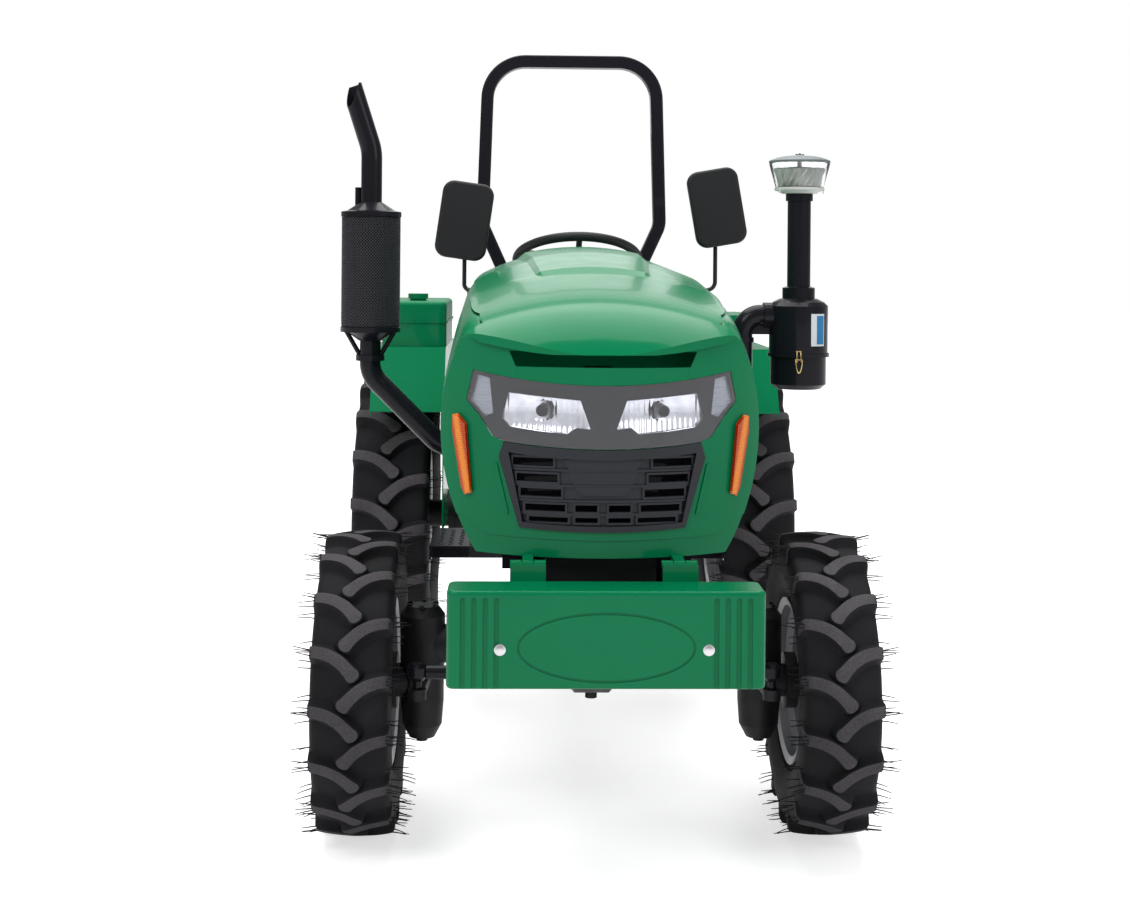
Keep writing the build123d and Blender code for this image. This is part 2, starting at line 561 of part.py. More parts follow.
def swell_section(y, half, crown, high):
    """A flat-sided, bow-topped section that sits on the cap."""
    edge = crown - 52.0 * (half / 296.0) ** 2
    low = edge - SWELL_SINK
    top = [(half - SWELL_SLOPE, edge + high), (0, crown + high), (-half + SWELL_SLOPE, edge + high)]
    return Pos(0, FRONT_Y + y, 0) * (Rot(90, 0, 0) * make_face(
        [ThreePointArc(*top), Polyline(top[2], (-half - SWELL_SINK, low), (half + SWELL_SINK, low), top[0])]))


swell = loft([swell_section(*row) for row in SWELL], ruled=True)
keep("hood_cap", cap + (swell - inner))
for side in (1, -1):
    lo, hi = sorted((side * HINGE_X[0], side * HINGE_X[1]))
    strap = block(lo + third + 1, hi - third - 1, HINGE_Y, FRONT_Y - 437, HINGE_Z - 3, HINGE_Z + 9)
    eye = tube((lo + third + 1, HINGE_Y, HINGE_Z), (hi - third - 1, HINGE_Y, HINGE_Z), HINGE_R,
               HINGE_PIN_R + SLIDE_GAP)
    strap = strap - bar((lo, HINGE_Y, HINGE_Z), (hi, HINGE_Y, HINGE_Z), HINGE_R - 1)
    skin = joined(skin, strap, eye)
keep("hood", skin)

GRILLE_T = 16.0
FRAME_PROUD = 4.0
FIELD_DEEP = 7.0
FIN_DEEP = 2.0
FIN_HALF = 2.5
SLOT_RIM = 4.5
SLOTS = [  # height, half height, inner end, outer end
    (912.0, 8.0, 103.0, 186.0),
    (879.0, 8.0, 94.0, 178.0),
    (849.0, 8.0, 86.0, 170.0),
    (818.0, 7.0, 78.0, 160.0),
    (818.0, 7.0, 12.0, 57.0),
    (794.0, 5.0, 72.0, 152.0),
    (794.0, 5.0, 11.0, 57.0),
]
FINS = (896.0, 864.0, 833.0, 806.0)      # heights of the thin bars between the slot rows
PLAQUES = [  # depth under the hood's line, outline
    (1.0, [(84.0, 918.0), (70.0, 898.0), (-70.0, 898.0), (-84.0, 918.0)]),
    (4.0, [(74.0, 896.0), (60.0, 864.0), (-60.0, 864.0), (-74.0, 896.0)]),
    (1.0, [(60.0, 862.0), (44.0, 845.0), (-44.0, 845.0), (-60.0, 862.0)]),
]

def rectangle(x0, x1, z0, z1):
    """A rectangle in the front view."""
    return Pos((x0 + x1) / 2, (z0 + z1) / 2) * Rectangle(x1 - x0, z1 - z0)


def pushed(face):
    """A face drawn in the front view, pushed through the nose."""
    return Pos(0, NOSE_Y1, 0) * (Rot(90, 0, 0) * extrude(face, amount=NOSE_Y1 - NOSE_Y0, dir=(0, 0, 1)))


whole_face = offset(make_face(grille_edges), amount=-SEAT_GAP, kind=Kind.INTERSECTION)
field_face = make_face(bowed(FIELD_HALF, *FIELD_MIDDLE))
rims = Sketch() + [rectangle(-190, 190, z - FIN_HALF, z + FIN_HALF) for z in FINS]
holes = Sketch()
for z, half, near, far in SLOTS:
    for side in (1, -1):
        x0, x1 = sorted((side * near, side * far))
        rims = rims + rectangle(x0 - SLOT_RIM, x1 + SLOT_RIM, z - half - SLOT_RIM, z + half + SLOT_RIM)
        holes = holes + rectangle(x0, x1, z - half, z + half)
grille = nose_round(FIELD_DEEP) & pushed(whole_face)
grille = grille + (nose_round(-FRAME_PROUD) & pushed(whole_face - field_face))
grille = grille + (nose_round(FIN_DEEP) & pushed(rims & field_face))
for deep, outline in PLAQUES:
    grille = grille + (nose_round(deep) & pushed(make_face(closed(*outline))))
grille = grille - pushed(holes) - nose_round(GRILLE_T)
keep("grille", grille)

LENS_T = 3.0
LAMP_T = 44.0
BOWL_DEEP = 38.0
STRIP_DEEP = 14.0
BULB_R = 11.0
BOWL = [(196.0, 1053.0), (48.0, 1040.0), (27.0, 981.0), (57.0, 984.0), (74.0, 971.0), (136.0, 976.0),
        (192.0, 983.0), (209.0, 1000.0)]
STRIP = [(262.0, 1088.0), (236.0, 1082.0), (228.0, 1008.0), (244.0, 1001.0), (276.0, 1032.0)]
BULB_AT = (126.0, 1016.0)
band = nose_prism(lamp_edges, -SEAT_GAP)
keep("lamp_lens", (nose_round(0.0) - nose_round(LENS_T)) & band)
lamps = (nose_round(LENS_T + SEAT_GAP) - nose_round(LAMP_T)) & band
for side in (1, -1):
    lamps = lamps - (nose_prism(closed(*[(side * x, z) for x, z in BOWL])) - nose_round(BOWL_DEEP))
    lamps = lamps - (nose_prism(closed(*[(side * x, z) for x, z in STRIP])) - nose_round(STRIP_DEEP))
    bulb = bar((side * BULB_AT[0], NOSE_Y0, BULB_AT[1]), (side * BULB_AT[0], NOSE_Y1, BULB_AT[1]), BULB_R)
    lamps = lamps + (bulb & (nose_round(STRIP_DEEP) - nose_round(LAMP_T - 2)))
keep("headlamps", lamps)

MARKER = [(316.0, 1000.0), (316.0, 968.0), (296.0, 850.0), (288.0, 834.0), (272.0, 840.0), (285.0, 985.0),
          (303.0, 1004.0)]
MARKER_TIERS = [  # how far the outline is drawn in, height over the nose
    (0.0, 5.0),
    (-4.0, 11.0),
]
markers = []
for side in (1, -1):
    outline = closed(*[(side * x, z) for x, z in MARKER])
    tiers = [(nose_round(-high) - nose_round(-SEAT_GAP)) & nose_prism(outline, drawn) for drawn, high in MARKER_TIERS]
    markers.append(joined(*tiers) & block(*sorted((side * 200, side * 400)), NOSE_Y0, FRONT_Y - 300, 800, 1050))
keep("marker_lamps", group(*markers))

# ---------------------------------------------------------------- engine, radiator, battery
ENGINE_Y0 = FRONT_Y + 40.0
ENGINE_Y1 = FRONT_Y + 620.0
ENGINE_X = 140.0
CRANK_Z = 640.0
FAN_Z = 790.0
PAN_Z = 600.0                 # joint plane of the oil pan
DECK_Z = 860.0                # top of the block
HEAD_Z = 950.0
EXHAUST_Z = 860.0
INTAKE_Z = 905.0
PORT_X = 205.0                # both manifolds reach out to here
CYLINDERS = (110.0, 235.0, 360.0, 485.0)     # places of the cylinders behind the engine's front
MUFFLER_Y = FRONT_Y + 270.0
CLEANER_Y = FRONT_Y + 400.0

sump = plate_xz([(-110, 470), (110, 470), (140, 560), (140, PAN_Z), (-140, PAN_Z), (-140, 560)],
                SUPPORT_BACK + SEAT_GAP, ENGINE_Y1)
pan_rim = block(-ENGINE_X - 12, ENGINE_X + 12, SUPPORT_BACK + SEAT_GAP, ENGINE_Y1, PAN_Z - 8, PAN_Z + 8)
crankcase = block(-ENGINE_X, ENGINE_X, SUPPORT_BACK + SEAT_GAP, ENGINE_Y1, PAN_Z - 2, DECK_Z)
nose_case = block(-ENGINE_X + 10, ENGINE_X - 10, ENGINE_Y0, SUPPORT_BACK + 10, PAN_Z, DECK_Z)
head = block(-ENGINE_X + 12, ENGINE_X - 12, ENGINE_Y0 + 10, ENGINE_Y1 - 15, DECK_Z - 2, HEAD_Z)
cover = fillet(block(-70, 70, ENGINE_Y0 + 30, ENGINE_Y1 - 35, HEAD_Z - 2, 1010).edges().filter_by(Axis.Y), 18)
cover_rim = block(-78, 78, ENGINE_Y0 + 22, ENGINE_Y1 - 27, HEAD_Z - 2, HEAD_Z + 10)
engine = joined(crankcase, sump, pan_rim, nose_case, head, cover, cover_rim)
BELL_RIM = 16.0
engine = engine + plate_xz([(-180, 530), (180, 530), (180, 750), (120, 840), (-120, 840), (-180, 750)],
                           ENGINE_Y1 - BELL_RIM, ENGINE_Y1)

# Exhaust side (-X): log manifold, starter and oil filter.
LOG_R = 26.0
log_y = (ENGINE_Y0 + CYLINDERS[0] - 30, ENGINE_Y0 + CYLINDERS[-1] + 30)
engine = engine + bar((-170, log_y[0], EXHAUST_Z + 24), (-170, log_y[1], EXHAUST_Z + 24), LOG_R)
engine = engine + bar((-170, MUFFLER_Y, EXHAUST_Z + 16), (-170, MUFFLER_Y, EXHAUST_Z - 20), LOG_R)
engine = engine + bar((-165, MUFFLER_Y, EXHAUST_Z), (-PORT_X, MUFFLER_Y, EXHAUST_Z), 34)
for place in CYLINDERS:
    y = ENGINE_Y0 + place
    engine = engine + bar((-ENGINE_X + 20, y, HEAD_Z - 35), (-170, y, EXHAUST_Z + 24), 20)
    engine = engine + block(-ENGINE_X, -ENGINE_X + 14, y - 34, y + 34, HEAD_Z - 66, HEAD_Z - 6)
    engine = engine + bar((92, y, HEAD_Z - 4), (92, y, HEAD_Z + 34), 10)
engine = joined(engine, bar((-182, ENGINE_Y1 - 160, 655), (-182, ENGINE_Y1, 655), 42),
                bar((-168, ENGINE_Y1 - 120, 722), (-168, ENGINE_Y1 - 12, 722), 24),
                block(-182, -130, ENGINE_Y1 - 90, ENGINE_Y1 - 5, 640, 725),
                bar((-ENGINE_X + 5, ENGINE_Y0 + 250, 640), (-214, ENGINE_Y0 + 250, 640), 38),
                bar((-ENGINE_X + 5, ENGINE_Y0 + 250, 640), (-154, ENGINE_Y0 + 250, 640), 46))

# Intake side (+X): manifold, injection pump, fuel filter and alternator.
plenum = block(ENGINE_X - 20, PORT_X, ENGINE_Y0 + 60, ENGINE_Y1 - 60, 872, 938)
engine = engine + fillet(plenum.edges().filter_by(Axis.Y), 12)
PUMP = (ENGINE_Y0 + 150.0, ENGINE_Y0 + 330.0, 660.0, 765.0)
pump = fillet(block(ENGINE_X - 5, 198, PUMP[0], PUMP[1], PUMP[2], PUMP[3]).edges().filter_by(Axis.Y), 14)
engine = joined(engine, pump, bar((170, PUMP[1] - 1, 700), (170, PUMP[1] + 60, 700), 42),
                bar((170, PUMP[0] - 70, 700), (170, PUMP[0] + 1, 700), 34))
for k in range(len(CYLINDERS)):
    y = PUMP[0] + 30 + 40 * k
    engine = engine + bar((168, y, PUMP[3] - 4), (168, y, PUMP[3] + 26), 9)
FILTER_Y = ENGINE_Y1 - 95.0
engine = joined(engine, turned_up([(0, 690), (34, 690), (40, 700), (40, 800), (0, 800)], 186, FILTER_Y),
                block(ENGINE_X - 5, 226, FILTER_Y - 42, FILTER_Y + 42, 798, 832))
CHARGER = (182.0, 745.0)      # alternator's axle, x and z
engine = joined(engine, bar((CHARGER[0], ENGINE_Y0 - 4, CHARGER[1]), (CHARGER[0], ENGINE_Y0 + 78, CHARGER[1]), 50),
                block(ENGINE_X - 14, CHARGER[0], ENGINE_Y0 + 2, ENGINE_Y0 + 60, CHARGER[1] - 20, CHARGER[1] + 20))

# Fan drive: three pulleys and their belt.
BELT_Y = ENGINE_Y0 - 30.0
PULLEYS = [  # x, z, radius
    (0.0, CRANK_Z, 70.0),
    (0.0, FAN_Z, 56.0),
    (CHARGER[0], CHARGER[1], 34.0),
]
BELT_T = 5.0                  # the belt reaches this far out of and into each pulley's rim
loops = []
for grow in (BELT_T, -BELT_T):
    rounds = [Pos(x, z) * Circle(r + grow) for x, z, r in PULLEYS]
    loops.append(make_hull([edge for disc in rounds for edge in disc.edges()]))
belt = Pos(0, BELT_Y + 6, 0) * (Rot(90, 0, 0) * extrude(loops[0] - loops[1], amount=12))
for x, z, r in PULLEYS:
    wheel = turned_y([(0, -14), (r, -14), (r, -7), (r - 4, -6), (r - 4, 6), (r, 7), (r, 14), (0, 14)], x, BELT_Y, z)
    engine = engine + (wheel + bar((x, BELT_Y, z), (x, ENGINE_Y0 + 5, z), 22))
engine = engine + belt + bar((0, ENGINE_Y0 - 90, FAN_Z), (0, ENGINE_Y0 + 5, FAN_Z), 26)

RAD_Y0 = FRONT_Y - 235.0
RAD_Y1 = FRONT_Y - 165.0
RAD_X = 205.0
RAD_Z0 = RAIL_Z1 + SEAT_GAP
RAD_Z1 = 1060.0
HOSE_R = 19.0
hose = bent_bar([(70, ENGINE_Y0 + 20, 925), (70, FRONT_Y - 40, 925), (70, FRONT_Y - 72, 1022),
                 (70, RAD_Y1 + SEAT_GAP, 1022)], [30, 30], Circle(HOSE_R))
keep("engine", engine + hose)

core = block(-RAD_X, RAD_X, RAD_Y0 + 6, RAD_Y1 - 6, RAD_Z0, RAD_Z1)
tanks = [block(-RAD_X, RAD_X, RAD_Y0, RAD_Y1, RAD_Z1 - 62, RAD_Z1), block(-RAD_X, RAD_X, RAD_Y0, RAD_Y1, RAD_Z0, 705),
         block(-RAD_X - 4, -RAD_X + 14, RAD_Y0, RAD_Y1, RAD_Z0, RAD_Z1),
         block(RAD_X - 14, RAD_X + 4, RAD_Y0, RAD_Y1, RAD_Z0, RAD_Z1)]
shroud = tube((0, RAD_Y1 - 1, FAN_Z), (0, FRONT_Y - 85, FAN_Z), 190, 183)
shroud = shroud & block(-RAD_X, RAD_X, RAD_Y0, 0, RAD_Z0 + 5, RAD_Z1)
filler = bar((0, RAD_Y0 + 35, RAD_Z1 - 1), (0, RAD_Y0 + 35, RAD_Z1 + 22), 22) + \
    bar((0, RAD_Y0 + 35, RAD_Z1 + 20), (0, RAD_Y0 + 35, RAD_Z1 + 34), 32)
blades = [Pos(0, FRONT_Y - 118, FAN_Z) * (Rot(0, a, 0) * (Pos(0, 0, 85) * (Rot(0, 0, 28) * Box(62, 4, 160))))
          for a in range(0, 360, 60)]
fan = joined(*blades, bar((0, FRONT_Y - 132, FAN_Z), (0, ENGINE_Y0 - 90 - SEAT_GAP, FAN_Z), 40))
keep("radiator", group(joined(core, *tanks, shroud, filler), fan))
CELL_Z = 745.0
case = block(-115, 115, FRONT_Y - 420, FRONT_Y - 265, RAIL_Z0 + DECK_T + SEAT_GAP, CELL_Z)
case = case + block(-119, 119, FRONT_Y - 424, FRONT_Y - 261, CELL_Z - 34, CELL_Z - 10)
posts = [bar((px, FRONT_Y - 340, CELL_Z - 1), (px, FRONT_Y - 340, CELL_Z + 17), 10) for px in (-70, 70)]
keep("battery", joined(case, *posts))

# ---------------------------------------------------------------- gearbox, rear axle, lift housing
BELL_Y1 = ENGINE_Y1 + 150.0
BOX_Y1 = REAR_Y - 190.0
REAR_CASE_Y1 = REAR_Y + 175.0
bell = plate_xz([(-190, 520), (-120, 395), (120, 395), (190, 520), (190, 760), (120, 850), (-120, 850), (-190, 760)],
                ENGINE_Y1 + SEAT_GAP, ENGINE_Y1 + 60)
bell_back = block(-150, 150, ENGINE_Y1 + 59, BELL_Y1, 430, 800)
tunnel = block(-135, 135, BELL_Y1 - 1, BOX_Y1, 400, 720)
keep("gearbox", joined(bell, bell_back, tunnel))

centre = block(-170, 170, BOX_Y1 + SEAT_GAP, REAR_CASE_Y1, 330, 720)
centre = fillet(centre.edges().filter_by(Axis.Y), 40)
AXLE_END = REAR_X - 40.0 - HUB_FLANGE
FLANGE_X = 405.0              # bolting face of each trumpet housing
trumpets = [turned([(side * 165, 0), (side * 165, 98), (side * 230, 78), (side * 385, 62), (side * 385, 80),
                    (side * FLANGE_X, 80), (side * FLANGE_X, 44), (side * (AXLE_END - SLIDE_GAP), 44),
                    (side * (AXLE_END - SLIDE_GAP), 0)],
                   REAR_Y, REAR_Z) for side in (1, -1)]
pto_boss = bar((0, REAR_CASE_Y1 - 1, 505), (0, REAR_CASE_Y1 + 30, 505), 60)
keep("rear_axle", joined(centre, *trumpets, pto_boss))
PTO_Z = 505.0
pto = bar((0, REAR_CASE_Y1 + 30 + SEAT_GAP, PTO_Z), (0, REAR_CASE_Y1 + 120, PTO_Z), 17.5)

SHAFT_Y = REAR_Y + 50.0       # rock shaft of the lift
SHAFT_Z = 784.0
LIFT_TOP = 840.0
lift = block(-130, 130, REAR_Y - 170, REAR_Y + 130, 720 + SEAT_GAP, LIFT_TOP)
lift = fillet(lift.edges().filter_by(Axis.Z), 30)
lift = lift - bar((-300, SHAFT_Y, SHAFT_Z), (300, SHAFT_Y, SHAFT_Z), 27 + SLIDE_GAP)
TOP_PIN_Y = REAR_Y + 215.0
TOP_PIN_Z = 655.0
bracket = [block(x0, x1, REAR_CASE_Y1 + SEAT_GAP, TOP_PIN_Y + 26, 620, 690) for x0, x1 in ((-44, -32), (32, 44))]
bracket_back = block(-44, 44, REAR_CASE_Y1 + SEAT_GAP, REAR_CASE_Y1 + 14, 600, 712)
top_pin = bar((-50, TOP_PIN_Y, TOP_PIN_Z), (50, TOP_PIN_Y, TOP_PIN_Z), 9.5)
keep("lift_housing", lift)
drawbar = block(-40, 40, REAR_CASE_Y1 - 150, REAR_CASE_Y1 + 190, 285, 310) + \
    block(-60, 60, REAR_CASE_Y1 - 140, REAR_CASE_Y1 - 20, 305, 330 - SEAT_GAP)
drawbar = drawbar - bar((0, REAR_CASE_Y1 + 150, 200), (0, REAR_CASE_Y1 + 150, 400), 12.5)
keep("rear_hitch", group(joined(*bracket, bracket_back, top_pin), drawbar, pto))
prop = bar((0, FRONT_Y + TRUNNION_END + SEAT_GAP, PIVOT_Z), (0, ENGINE_Y1, PIVOT_Z), 24)
keep("drive_shaft", prop)

# ---------------------------------------------------------------- lift linkage
ARM_X = 158.0
LIFT_ARM = 240.0
ARM_ANGLE = math.radians(-10.0)
LINK_Y = REAR_Y + 60.0
LINK_Z = 360.0
LINK_ANGLE = math.radians(-10.0)
ROD_PLACE = 360.0             # lift rod's pin along the lower link
LINK_END_R = 11.2
LINK_EYE_R = 24.0
LINK_LENGTH = (TAIL_REACH - 60.0 - LINK_EYE_R) / math.cos(LINK_ANGLE)
arm_y = SHAFT_Y + LIFT_ARM * math.cos(ARM_ANGLE)
arm_z = SHAFT_Z + LIFT_ARM * math.sin(ARM_ANGLE)
rod_y = LINK_Y + ROD_PLACE * math.cos(LINK_ANGLE)
rod_z = LINK_Z + ROD_PLACE * math.sin(LINK_ANGLE)
end_y = LINK_Y + LINK_LENGTH * math.cos(LINK_ANGLE)
end_z = LINK_Z + LINK_LENGTH * math.sin(LINK_ANGLE)
LINK_X = (215.0, 341.0)       # front pin and rear ball of each lower link

arms = bar((-ARM_X, SHAFT_Y, SHAFT_Z), (ARM_X, SHAFT_Y, SHAFT_Z), 27)
for side in (1, -1):
    x0, x1 = sorted((side * (ARM_X - 24), side * ARM_X))
    arm = plate_yz([(SHAFT_Y - 20, SHAFT_Z + 42), (arm_y, arm_z + 24), (arm_y, arm_z - 24),
                    (SHAFT_Y - 20, SHAFT_Z - 42)], x0, x1)
    arm = arm + bar((x0, SHAFT_Y, SHAFT_Z), (x1, SHAFT_Y, SHAFT_Z), 46)
    arm = arm + bar((x0, arm_y, arm_z), (x1, arm_y, arm_z), 24)
    pin = bar((x0, arm_y, arm_z), (x1 + side * 28 if side > 0 else x0 - 28, arm_y, arm_z), 9)
    if side < 0:
        pin = bar((x1, arm_y, arm_z), (x0 - 28, arm_y, arm_z), 9)
    arms = joined(arms, arm, pin)
keep("lift_arms", arms)

rods = []
rod_top_x = ARM_X + 14.0
rod_low_x = LINK_X[0] + (LINK_X[1] - LINK_X[0]) * ROD_PLACE / LINK_LENGTH
ROD_EYE = 20.0
STUB_GAP = 13.5               # each rod's lower pin stops short of its link
for side in (1, -1):
    top = (side * rod_top_x, arm_y, arm_z)
    low = (side * (rod_low_x + 38), rod_y, rod_z)
    eye_top = bar((top[0] - 10, top[1], top[2]), (top[0] + 10, top[1], top[2]), ROD_EYE)
    eye_low = bar((low[0] - 9, low[1], low[2]), (low[0] + 9, low[1], low[2]), ROD_EYE)
    stem = bar(top, low, 11)
    mid = [top[i] + 0.6 * (low[i] - top[i]) for i in range(3)]
    mid_top = [top[i] + 0.3 * (low[i] - top[i]) for i in range(3)]
    sleeve = bar(mid_top, mid, 17)
    stub = bar((side * (rod_low_x + STUB_GAP), rod_y, rod_z), low, 9)
    lift_rod = joined(eye_top, eye_low, stem, sleeve, stub)
    lift_rod = lift_rod - bar((top[0] - 40, arm_y, arm_z), (top[0] + 40, arm_y, arm_z), 9 + SLIDE_GAP)
    rods.append(lift_rod)
keep("lift_rods", group(*rods))

links = []
for side in (1, -1):
    front = (side * LINK_X[0], LINK_Y, LINK_Z)
    back = (side * LINK_X[1], end_y, end_z)
    run = Vector(*back) - Vector(*front)
    flat = Plane(origin=Vector(*front), x_dir=run, z_dir=Vector(*run).cross(Vector(0, 0, 1)))
    link_bar = flat * Box(run.length, 58, 16, align=(Align.MIN, Align.CENTER, Align.CENTER))
    eyes = [bar((front[0] - 14, front[1], front[2]), (front[0] + 14, front[1], front[2]), 30),
            bar((back[0] - 16, back[1], back[2]), (back[0] + 16, back[1], back[2]), LINK_EYE_R)]
    link = joined(link_bar, *eyes)
    link = link - bar((front[0] - 40, front[1], front[2]), (front[0] + 40, front[1], front[2]), 11 + SLIDE_GAP)
    link = link - bar((back[0] - 40, back[1], back[2]), (back[0] + 40, back[1], back[2]), LINK_END_R)
    links.append(link)
keep("lower_links", group(*links))

TOP_LINK = 470.0
TOP_ANGLE = math.radians(-6.0)
top_end = (0, TOP_PIN_Y + TOP_LINK * math.cos(TOP_ANGLE), TOP_PIN_Z + TOP_LINK * math.sin(TOP_ANGLE))
top_link = joined(bar((0, TOP_PIN_Y, TOP_PIN_Z), top_end, 12),
                  bar((0, TOP_PIN_Y + 90, TOP_PIN_Z - 9.5), (0, TOP_PIN_Y + 370, TOP_PIN_Z - 39), 19),
                  bar((-22, TOP_PIN_Y, TOP_PIN_Z), (22, TOP_PIN_Y, TOP_PIN_Z), 22),
                  bar((-20, top_end[1], top_end[2]), (20, top_end[1], top_end[2]), 24))
top_link = top_link - bar((-60, TOP_PIN_Y, TOP_PIN_Z), (60, TOP_PIN_Y, TOP_PIN_Z), 9.5 + SLIDE_GAP)
top_link = top_link - bar((-60, top_end[1], top_end[2]), (60, top_end[1], top_end[2]), 9.7)
keep("top_link", top_link)
PIN_TIP = LINK_X[0] + 30.0
cross_bar = bar((-PIN_TIP, LINK_Y, LINK_Z), (PIN_TIP, LINK_Y, LINK_Z), 11)
PARTS["rear_axle"] = joined(PARTS["rear_axle"], cross_bar,
                            bar((-185, LINK_Y, LINK_Z), (185, LINK_Y, LINK_Z), 26))

# ---------------------------------------------------------------- fenders, platform, tank, toolbox
FENDER_IN = FLANGE_X + SEAT_GAP
FENDER_OUT = 634.0
FENDER_TOP = 1052.0
HEM_H = 18.0                  # turned-down outer edge
SHEET = 4.0
# Side view of the fender's top skin: y behind the rear axle, height.
FENDER_LINE = [(-434.0, 862.0), (-339.0, FENDER_TOP), (251.0, FENDER_TOP), (381.0, 900.0)]


def fender(side):
    top = [(REAR_Y + y, z) for y, z in FENDER_LINE]
    inside = [(y, z - SHEET) for y, z in top]
    inside[0] = (top[0][0] + SHEET, top[0][1] - 2)
    inside[-1] = (top[-1][0] - SHEET, top[-1][1] - 2)
    x0, x1 = sorted((side * FENDER_IN, side * FENDER_OUT))
    skin = plate_yz(top + inside[::-1], x0, x1)
    wall_x = sorted((side * FENDER_IN, side * (FENDER_IN + SHEET)))
    low = [(top[0][0], 495), (REAR_Y - 140, 470), (REAR_Y + 140, 470), (top[-1][0], 640)]
    wall = plate_yz(top + low[::-1], wall_x[0], wall_x[1])
    wall = wall - bar((x0 - 1, REAR_Y, REAR_Z), (x1 + 1, REAR_Y, REAR_Z), 50)
    lip = block(x0, x1, top[0][0] - 17, top[0][0] + 3, top[0][1] - SHEET, top[0][1])
    hem = plate_yz(top + [(y, z - HEM_H) for y, z in top[::-1]],
                   *sorted((side * (FENDER_OUT - SHEET), side * FENDER_OUT)))
    return joined(skin, wall, lip, hem)


keep("fender_left", fender(1))
keep("fender_right", fender(-1))

TANK_Z0 = FENDER_TOP + SEAT_GAP
TANK_Z1 = 1196.0
TANK_SEAM = 1128.0
CAP_AT = (-500.0, REAR_Y - 229.0)
CAP_R = 32.0
tank_x = (-FENDER_OUT + 25.0, -FENDER_IN)
tank_y = (REAR_Y - 319.0, REAR_Y + 151.0)
tank = block(*tank_x, *tank_y, TANK_Z0, TANK_Z1)
tank = fillet(tank.edges().filter_by(Axis.Z), 24)
tank = fillet(tank.faces().sort_by(Axis.Z)[-1].edges(), 14)
ledge = block(tank_x[0] - 4, tank_x[1] + 4, tank_y[0] - 4, tank_y[1] + 4, TANK_SEAM, TANK_SEAM + 5)
ledge = fillet(ledge.edges().filter_by(Axis.Z), 28)
cap = bar((*CAP_AT, TANK_Z1 - 1), (*CAP_AT, TANK_Z1 + 8), CAP_R - 6) + \
    bar((*CAP_AT, TANK_Z1 + 6), (*CAP_AT, TANK_Z1 + 22), CAP_R)
keep("fuel_tank", joined(tank, ledge, cap))

BOX = (430.0, 560.0, REAR_Y - 299.0, REAR_Y + 51.0)
BOX_Z1 = 1148.0
box = block(BOX[0], BOX[1], BOX[2], BOX[3], TANK_Z0, BOX_Z1) - \
    block(BOX[0] + SHEET, BOX[1] - SHEET, BOX[2] + SHEET, BOX[3] - SHEET, TANK_Z0 + SHEET, BOX_Z1 + 1)
BOX_PIN = (BOX[1] + 9.0, BOX_Z1 + 6.0)
hinge_leaf = [block(BOX[1] - 1, BOX_PIN[0], y - 20, y + 20, BOX_Z1 - 14, BOX_Z1 - 10) +
              bar((BOX_PIN[0], y - 20, BOX_PIN[1]), (BOX_PIN[0], y + 20, BOX_PIN[1]), 5) +
              bar((BOX_PIN[0], y - 38, BOX_PIN[1]), (BOX_PIN[0], y + 38, BOX_PIN[1]), 2.5) +
              block(BOX_PIN[0] - 2, BOX_PIN[0] + 2, y - 20, y + 20, BOX_Z1 - 12, BOX_PIN[1])
              for y in (BOX[2] + 60, BOX[3] - 60)]
keep("toolbox", joined(box, *hinge_leaf))
lid = block(BOX[0] - 7, BOX[1] + 3, BOX[2] - 7, BOX[3] + 7, BOX_Z1 - 8, BOX_Z1 + 10) - \
    block(BOX[0] - 3, BOX[1] + 20, BOX[2] - 3, BOX[3] + 3, BOX_Z1 - 9, BOX_Z1 + SEAT_GAP)
for y in (BOX[2] + 60, BOX[3] - 60):
    for y0 in (y - 38, y + 22):
        lid = lid + block(BOX[1], BOX_PIN[0], y0, y0 + 16, BOX_Z1 + 4, BOX_Z1 + 9)
        lid = lid + bar((BOX_PIN[0], y0, BOX_PIN[1]), (BOX_PIN[0], y0 + 16, BOX_PIN[1]), 5)
        lid = lid - bar((BOX_PIN[0], y0, BOX_PIN[1]), (BOX_PIN[0], y0 + 16, BOX_PIN[1]), 2.5 + SEAT_GAP)
keep("toolbox_lid", lid)

PLATE_Z = 500.0
PLATE_END = REAR_Y + FENDER_LINE[0][0] - SEAT_GAP
floor = []
for side in (1, -1):
    x0, x1 = sorted((side * (135 + SEAT_GAP), side * 430))
    plate = block(x0, x1, FRONT_Y + 880, PLATE_END, PLATE_Z - 5, PLATE_Z)
    edge = block(*sorted((side * 424, side * 430)), FRONT_Y + 880, PLATE_END, PLATE_Z - 40, PLATE_Z)
    rib = [block(x0, x1, FRONT_Y + y, FRONT_Y + y + 8, PLATE_Z - 45, PLATE_Z) for y in (940, 1130)]
    floor.append(joined(plate, edge, *rib))
keep("platform", group(*floor))

# ---------------------------------------------------------------- dash, steering wheel, seat, roll hoop
COWL_Y0 = HOOD_BACK + 8.0
COWL_Y1 = FRONT_Y + 1005.0
cowl_row = (COWL_Y0 - FRONT_Y,) + HOOD_SECTIONS[-1][1:]
cowl = extrude(hood_section(cowl_row, 6.0), amount=COWL_Y1 - COWL_Y0, dir=(0, 1, 0))
cowl_in = Pos(0, SHEET, 0) * extrude(hood_section(cowl_row, 6.0 + SHEET), amount=COWL_Y1 - COWL_Y0 - 2 * SHEET,
                                     dir=(0, 1, 0))
WHEEL_TILT = math.radians(22.0)
WHEEL_AT = (0.0, FRONT_Y + 1120.0, 1330.0)
WHEEL_R = 184.0
WHEEL_RIM = 14.0
axis_dir = (0.0, math.sin(WHEEL_TILT), math.cos(WHEEL_TILT))


def along(distance):
    """A point on the steering axis, measured up from the wheel's centre."""
    return tuple(WHEEL_AT[i] + distance * axis_dir[i] for i in range(3))


